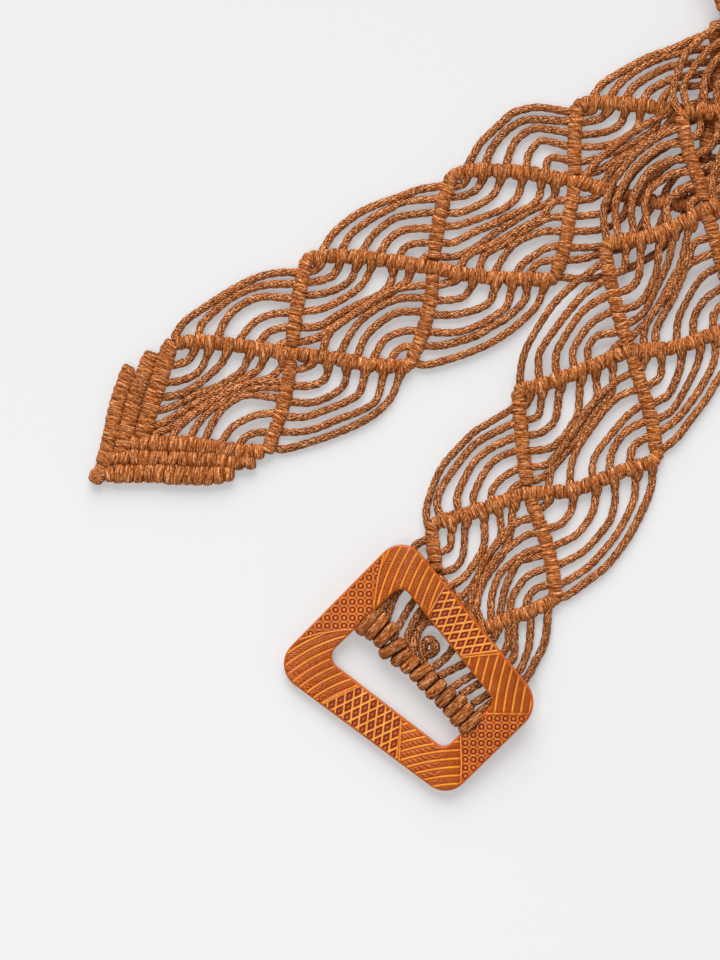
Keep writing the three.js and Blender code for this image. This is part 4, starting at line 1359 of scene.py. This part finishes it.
STRETCHES = [
    ("net_pointed_arm", 0, 3),
    ("net_loop_start", 4, 6),
    ("net_loop_middle", 7, 9),
    ("net_loop_end", 10, 12),
    ("net_buckle_arm", 13, 16),
]
for node, first, last in STRETCHES:
    weave = Weave()
    for i in range(first, last + 1):
        add_period(weave, i)
    dress(weave.build("knots_" + node[4:], lifted if first >= LIFT_FIRST else None), node)

weave = Weave()
for row in POINT_ROWS:
    add_row(weave, row)
add_knob(weave)
dress(weave.build("knots_point"), "point_rows")

# Painted shade: the turns on the centre bar take only darker tones, as they lie in the frame's recess
weave = Weave((0.0, 0.5))
add_bar_turns(weave)
dress(weave.build("turns_on_bar", tilt), "bar_wraps")

# Painted shade: the leads take only the darkest tones, as they lie under the buckle's side
weave = Weave((0.0, 0.4))
add_leads(weave)
dress(weave.build("leads_to_bar"))

buckle = add_object("carved_buckle", buckle_mesh())
buckle.data.materials.append(make_buckle_material())
dress(buckle, "slide_buckle")

# Floor, camera and light
FLOOR = 6.0
floor_mesh = bpy.data.meshes.new("floor")
floor_mesh.from_pydata([(-FLOOR, -FLOOR, 0), (FLOOR, -FLOOR, 0), (FLOOR, FLOOR, 0), (-FLOOR, FLOOR, 0)], [],
                       [(0, 1, 2, 3)])
floor_mesh.materials.append(make_floor_material())
add_object("floor", floor_mesh)

CAMERA_HEIGHT = 1.6
SENSOR = 36.0
camera_data = bpy.data.cameras.new("camera")
camera_data.sensor_width = SENSOR
camera_data.lens = SENSOR * CAMERA_HEIGHT / (PICTURE[1] * PX * MM)
camera_data.dof.use_dof = False
camera = add_object("camera", camera_data)
camera.location = (SHIFT[0] * MM, SHIFT[1] * MM, CAMERA_HEIGHT)
bpy.context.scene.camera = camera

# A sky that is brighter near the horizon than overhead
world = bpy.data.worlds.new("world")
world.use_nodes = True
sky = world.node_tree
parts = sky.nodes.new("ShaderNodeSeparateXYZ")
sky.links.new(sky.nodes.new("ShaderNodeTexCoord").outputs["Generated"], parts.inputs["Vector"])
ring = sky.nodes.new("ShaderNodeMapRange")
for name, value in (("From Min", 0.80), ("From Max", 0.95), ("To Min", 0.55), ("To Max", 0.12)):
    ring.inputs[name].default_value = value
sky.links.new(parts.outputs["Z"], ring.inputs["Value"])
sky.nodes["Background"].inputs["Color"].default_value = (1, 1, 1, 1)
sky.links.new(ring.outputs["Result"], sky.nodes["Background"].inputs["Strength"])
bpy.context.scene.world = world
bpy.context.scene.view_settings.view_transform = "Standard"

sun = bpy.data.lights.new("key", "SUN")
sun.energy = 3.25
sun.angle = math.radians(48)
add_object("key", sun).rotation_euler = (math.radians(-53), math.radians(-3), 0)

# A small lamp low on the left, seen again in the gloss of the buckle's left corner. Both places are
# given from the point under the camera
LAMP_AT = np.array([-0.20, -0.23, 0.8])
LAMP_AIM = np.array([-0.03, -0.075, 0])
lamp = bpy.data.lights.new("gloss", "AREA")
lamp.size = 0.09
lamp.energy = 1.1
gloss = add_object("gloss", lamp)
aim = LAMP_AIM - LAMP_AT
gloss.location = SHIFT * MM + LAMP_AT
gloss.rotation_euler = (math.atan2(math.hypot(aim[0], aim[1]), -aim[2]), 0,
                        math.atan2(aim[1], aim[0]) - math.pi / 2)
